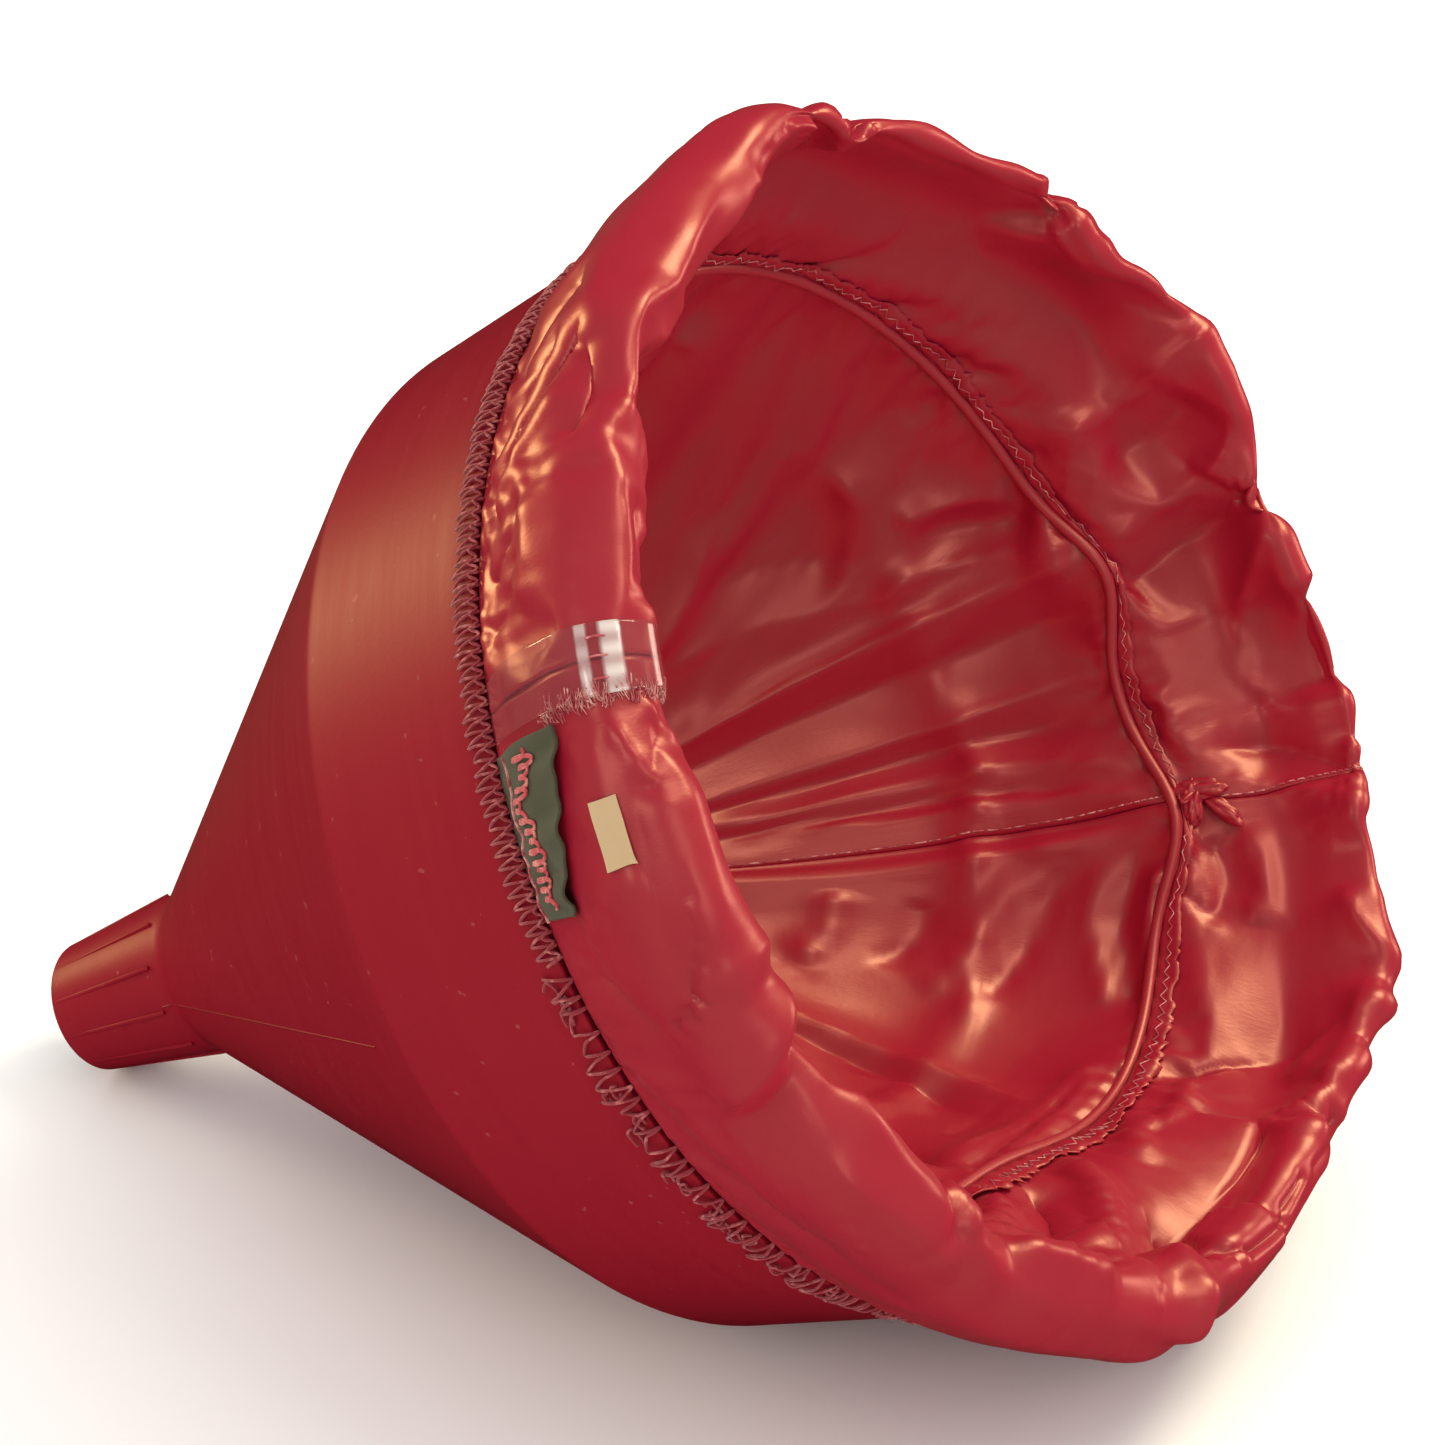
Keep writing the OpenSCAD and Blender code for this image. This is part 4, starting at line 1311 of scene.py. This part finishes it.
@dataclass
class SeamKnot:
    """The bunched ends of the seam allowances where the front seam meets the piping."""

    lining: Lining
    radius: float = 3.1 * MM
    first_seed: int = 40

    def build(self, satin: bpy.types.Material) -> bpy.types.Object:
        """Build the knot as four crumpled lobes of satin."""
        bm = bmesh.new()
        angle = self.lining.sizes.seam_angle
        ends = ((1.6, 0.87, 0.2, 1.0), (-0.4, 0.90, 1.3, 0.9), (-1.2, 0.83, 2.5, 0.8),
                (0.8, 0.91, 3.6, 0.7))
        for k, (da, s, way, size) in enumerate(ends):
            one = bmesh.new()
            bmesh.ops.create_icosphere(one, subdivisions=5, radius=1.0)
            dice = np.random.default_rng(self.first_seed + k)
            ways, shifts = dice.normal(size=(7, 3)) * 2.3, dice.uniform(0, 6.28, 7)
            for vert in one.verts:
                crush = float(np.sum(np.abs(np.sin(ways @ np.array(vert.co) + shifts)))) / 7 - 0.6
                vert.co *= 1 + 0.9 * crush
            here, out = (Vector(self.lining.band.at(angle + da, s, lift))
                         for lift in (1.4 * MM, 4.4 * MM))
            turn = (out - here).to_track_quat("Z", "Y").to_matrix().to_4x4()
            bmesh.ops.transform(one, verts=one.verts[:], matrix=Matrix.Translation(here) @ turn
                                @ Matrix.Rotation(way, 4, "Z")
                                @ Matrix.Diagonal((1.55 * self.radius * size,
                                                   0.62 * self.radius * size,
                                                   0.50 * self.radius * size, 1)))
            join(bm, one)
        return finish_mesh("seam_knot_satin", bm, satin, ["seam_knot"])


@dataclass
class Labels:
    """The woven label with its embroidery, and the care tag beside it."""

    lining: Lining
    start: float = 242.3
    end: float = 258.5
    foot: float = 0.0
    head: float = 0.280
    taper: float = 0.105
    tag_angles: tuple[float, float] = (249.6, 255.6)
    tag_stations: tuple[float, float] = (0.325, 0.395)

    def patch(self, name: str, angles: tuple[float, float], stations: tuple[float, float],
              lift: Callable[[np.ndarray, np.ndarray], np.ndarray], thickness: float,
              finish: bpy.types.Material, node: str, taper: float = 0.0
              ) -> bpy.types.Object:
        """Build a patch of tape that lies on the brim.

        Args:
            name: The piece's name.
            angles: Its two ends.
            stations: Its two long edges.
            lift: Height above the satin at shares of its length and width.
            thickness: Its thickness.
            finish: Its material.
            node: The CAD node that it stands for.
            taper: How much narrower it is at its end, in stations.

        Returns:
            The piece.
        """
        u, v = np.meshgrid(np.linspace(0, 1, 73), np.linspace(0, 1, 33))
        width = stations[1] - stations[0] - taper * u
        points = self.lining.band.at(angles[0] + (angles[1] - angles[0]) * u,
                                     stations[0] + width * v, lift(u, v))
        piece = finish_mesh(name, grid_bmesh(points), finish, [node])
        thicken(piece, thickness)
        return piece

    @staticmethod
    def label_lift(u: np.ndarray, v: np.ndarray) -> np.ndarray:
        """Return the label's height over the satin: creased across, its free edge curling."""
        creases = 0.55 * np.sin(u * 21 + 3 * v) * ease(v / 0.35) + 0.35 * np.sin(u * 37 + 1.0) * v
        return MM * (0.30 + 0.45 * ease(v / 0.3) + 0.9 * v ** 2 + creases * 0.8 * ease(v / 0.3))

    def build(self, olive: bpy.types.Material, tape: bpy.types.Material,
              embroidery: bpy.types.Material, thread: bpy.types.Material
              ) -> list[bpy.types.Object]:
        """Build the label, its threads and the care tag."""
        span = (self.start, self.end)
        made = [
            self.patch("label_weave", span, (self.foot, self.head), self.label_lift, 0.45 * MM,
                       olive, "label_patch", self.taper),
            self.patch("care_tape", self.tag_angles, self.tag_stations,
                       lambda u, v: MM * (0.55 + 0.5 * u * v), 0.25 * MM, tape,
                       "care_tag")]
        t = np.linspace(0, 1, 300)
        u = 0.06 + 0.86 * t + 0.018 * np.sin(t * 96)
        v = 0.50 + 0.10 * np.sin(t * 96 + 1.3) * (1 + 0.4 * np.sin(t * 31)) + 0.07 * np.sin(t * 13)
        loops = self.on_label(u, v, 0.55 * MM)
        bm = tube_mesh([loops, loops + np.array([0.0, 0.0, 0.45 * MM])], 0.24 * MM)
        made.append(finish_mesh("label_scroll", bm, embroidery,
                                ["label_embroidery"]))
        bars = []
        for k in np.arange(0.02, 1.0, 0.018):
            u = k + np.array([0.0, 0.002, 0.011, 0.013])
            bars.append(self.on_label(u, 0.20 + 0 * u, MM * np.array([0.2, 0.5, 0.5, 0.2])))
        bm = tube_mesh(bars, 0.22 * MM)
        made.append(finish_mesh("label_edge_thread", bm, thread,
                                ["label_stitches"]))
        return made

    def on_label(self, u: np.ndarray, v: np.ndarray, lift: float | np.ndarray) -> np.ndarray:
        """Return points over the label at shares of its length and width."""
        return self.lining.band.at(self.start + (self.end - self.start) * u,
                                   self.foot + (self.head - self.foot - self.taper * u) * v,
                                   self.label_lift(u, v) + lift)


@dataclass
class BackOpening:
    """The clear strip across the back opening and the frayed band end beside it."""

    lining: Lining
    start: float = 234.9
    end: float = 241.2
    film_t: float = 0.25 * MM
    thread_count: int = 240
    seed: int = 51

    def strip(self, film: bpy.types.Material) -> bpy.types.Object:
        """Build the clear strip, smoother than the satin that it lies on."""
        u, v = np.meshgrid(np.linspace(0, 1, 25), np.linspace(0, 1, 81))
        angle, station = self.start + (self.end - self.start) * u, 0.03 + 0.69 * v
        smooth = LINING.band(angle, station)
        normal = normals_of(smooth)
        under = np.einsum("ijk,ijk->ij", self.lining.band.at(angle, station) - smooth, normal)
        kernel = np.hanning(13) / np.hanning(13).sum()
        level = np.convolve(np.pad(under.max(axis=1), 6, mode="edge"), kernel, "valid")
        level = level[:, None] + 0 * under
        points = smooth + (np.maximum(under, level) + 0.45 * MM)[..., None] * normal
        piece = finish_mesh("clear_tape_strip", grid_bmesh(points), film,
                            ["clear_strip"])
        thicken(piece, self.film_t)
        return piece

    def tacks(self, thread: bpy.types.Material) -> bpy.types.Object:
        """Build the short stitches across the strip."""
        lines = []
        for angle in (236.2, 238.0, 239.8):
            s = np.array([0.405, 0.415, 0.425, 0.44, 0.45])
            lift = MM * np.array([0.6, 1.0, 1.2, 1.0, 0.6])
            lines.append(self.lining.band.at(angle + 0 * s, s, lift))
        return finish_mesh("strip_tacks", tube_mesh(lines, 0.18 * MM), thread,
                           ["strip_stitches"])

    def fringe(self, thread: bpy.types.Material) -> bpy.types.Object:
        """Build the frayed threads of the band's gathered end."""
        dice = np.random.default_rng(self.seed)
        lines = []
        for _ in range(self.thread_count):
            s = dice.uniform(0.24, 0.74)
            a = self.end + dice.uniform(-0.1, 1.1)
            t = np.linspace(0, 1, 6)
            reach = dice.uniform(0.4, 1.5)
            lines.append(self.lining.band.at(
                a - reach * t + 0.25 * np.sin(t * 5 + s * 90), s + dice.normal() * 0.012 * t,
                MM * (0.3 + dice.uniform(0.2, 1.3) * np.sin(t * 2.2))))
        t = np.linspace(0, 1, 22)
        lines.append(self.lining.band.at(self.end + 1.0 - 1.6 * t + 1.3 * np.sin(5 * t),
                                         0.72 + 0.10 * t, MM * (0.5 + 3.2 * np.sin(2.6 * t))))
        return finish_mesh("band_end_threads", tube_mesh(lines, 0.075 * MM, sides=2), thread,
                           ["band_end_fringe"])


# ------------------------------------------------------------------------------- the stage
@dataclass
class Studio:
    """The floor, the lights and the camera."""

    eye: tuple[float, float, float] = (0.61492, -1.26258, 0.89873)
    forward: tuple[float, float, float] = (-0.3742, 0.7846, -0.4944)
    view_angle: float = 9.11

    def floor(self) -> bpy.types.Object:
        """Build the pale floor."""
        bm = bmesh.new()
        bmesh.ops.create_grid(bm, x_segments=1, y_segments=1, size=4.0)
        mesh = bpy.data.meshes.new("studio_floor")
        bm.to_mesh(mesh)
        bm.free()
        board = Board("studio_paper")
        cloud = board.noise(board.place(False), 3.0, 2.0)
        paper = board.skin({"Base Color": board.blend(cloud, paint((0.92, 0.92, 0.92)),
                                                      paint((0.95, 0.95, 0.95)))},
                           {"Roughness": 0.9, "Specular IOR Level": 0.1})
        mesh.materials.append(paper)
        floor = add_object("studio_floor", mesh)
        floor.visible_glossy = False
        return floor

    def lamp(self, name: str, place: Sequence[float], size: float, watts: float,
             colour: Colour) -> None:
        """Hang a square softbox that faces the hat."""
        data = bpy.data.lights.new(name, "AREA")
        data.size, data.energy, data.color = size, watts, colour
        lamp = add_object(name, data)
        lamp.location = place
        lamp.rotation_euler = (Vector((0, 0, 0.1)) - Vector(place)).to_track_quat(
            "-Z", "Y").to_euler()

    def build(self) -> None:
        """Build the whole studio."""
        self.floor()
        self.lamp("left_softbox", (-1.30, 0.10, 0.25), 0.34, 5.4, (1.0, 0.84, 0.40))
        self.lamp("back_softbox", (0.62, 0.74, 1.22), 0.60, 12.0, (0.96, 1.0, 0.66))
        self.lamp("side_softbox", (0.95, 1.25, 0.25), 0.40, 3.0, (1.0, 0.82, 0.64))
        self.lamp("top_softbox", (0.70, -0.15, 1.40), 0.40, 3.0, (1.0, 0.86, 0.72))
        self.lamp("mouth_softbox", (1.10, -0.95, 0.95), 0.55, 1.8, (1.0, 0.84, 0.80))
        self.lamp("front_softbox", (-0.35, -1.60, 1.00), 0.60, 3.0, (1.0, 0.92, 0.84))
        world = bpy.data.worlds.new("studio_air")
        world.use_nodes = True
        air = world.node_tree.nodes["Background"]
        air.inputs["Color"].default_value = (1.0, 1.0, 1.0, 1.0)
        air.inputs["Strength"].default_value = 1.04
        world.cycles_visibility.glossy = False
        bpy.context.scene.world = world
        bpy.context.scene.view_settings.view_transform = "Standard"
        data = bpy.data.cameras.new("studio_camera")
        data.sensor_width, data.angle = 36.0, math.radians(self.view_angle)
        data.clip_start, data.clip_end = 0.05, 20.0
        camera = add_object("studio_camera", data)
        camera.location = self.eye
        camera.rotation_euler = Vector(self.forward).to_track_quat("-Z", "Y").to_euler()
        bpy.context.scene.camera = camera


def main() -> None:
    """Build the hat and its studio, and report each piece."""
    logging.basicConfig(level=logging.INFO, format="%(name)s %(message)s")
    satin = Satin().material()
    piping_satin = Satin("red_satin_piping", (0.40, 0.016, 0.036), (0.32, 0.012, 0.028),
                         0.38).material()
    thread = Thread().material()
    overcast = Thread("red_overcast_thread", (0.28, 0.010, 0.020), (0.56, 0.15, 0.14),
                      0.46).material()
    scroll = Thread("red_embroidery", (0.50, 0.03, 0.04), (0.70, 0.24, 0.20), 0.5).material()
    olive = Weave("olive_label", (0.030, 0.031, 0.012), (0.095, 0.090, 0.042)).material()
    tape = Weave("beige_tape", (0.47, 0.31, 0.16), (0.58, 0.41, 0.23), 90.0).material()
    cotton = Weave("cream_cotton", (0.62, 0.56, 0.44), (0.74, 0.68, 0.56), 60.0).material()
    FunnelMoulding().build(MouldedPlastic().material())
    lining = Lining()
    lining.settle()
    lining.build(satin)
    piping = Piping(lining)
    piping.cover(piping_satin)
    piping.cord(cotton)
    piping.allowance(satin)
    piping.stitches(thread)
    RimThread(StitchWork.MACHINE, -27.5, 263.5).build("rim_overcast", overcast, "rim_stitches")
    RimThread(StitchWork.HAND, 264.0, 332.0, seed=33).build("rim_hand_sewing", overcast,
                                                            "rim_hand_stitches")
    SeamThreads(lining).build(thread)
    SeamKnot(lining).build(satin)
    Labels(lining).build(olive, tape, scroll, thread)
    back = BackOpening(lining)
    back.strip(ClearFilm().material())
    back.tacks(thread)
    # The frayed threads are painted pale whitish pink: painted light that lifts them out of their
    # shade.
    back.fringe(Thread("frayed_satin_painted_light", (0.42, 0.05, 0.06), (0.74, 0.36, 0.30)).material())
    Studio().build()


if __name__ == "__main__":
    main()
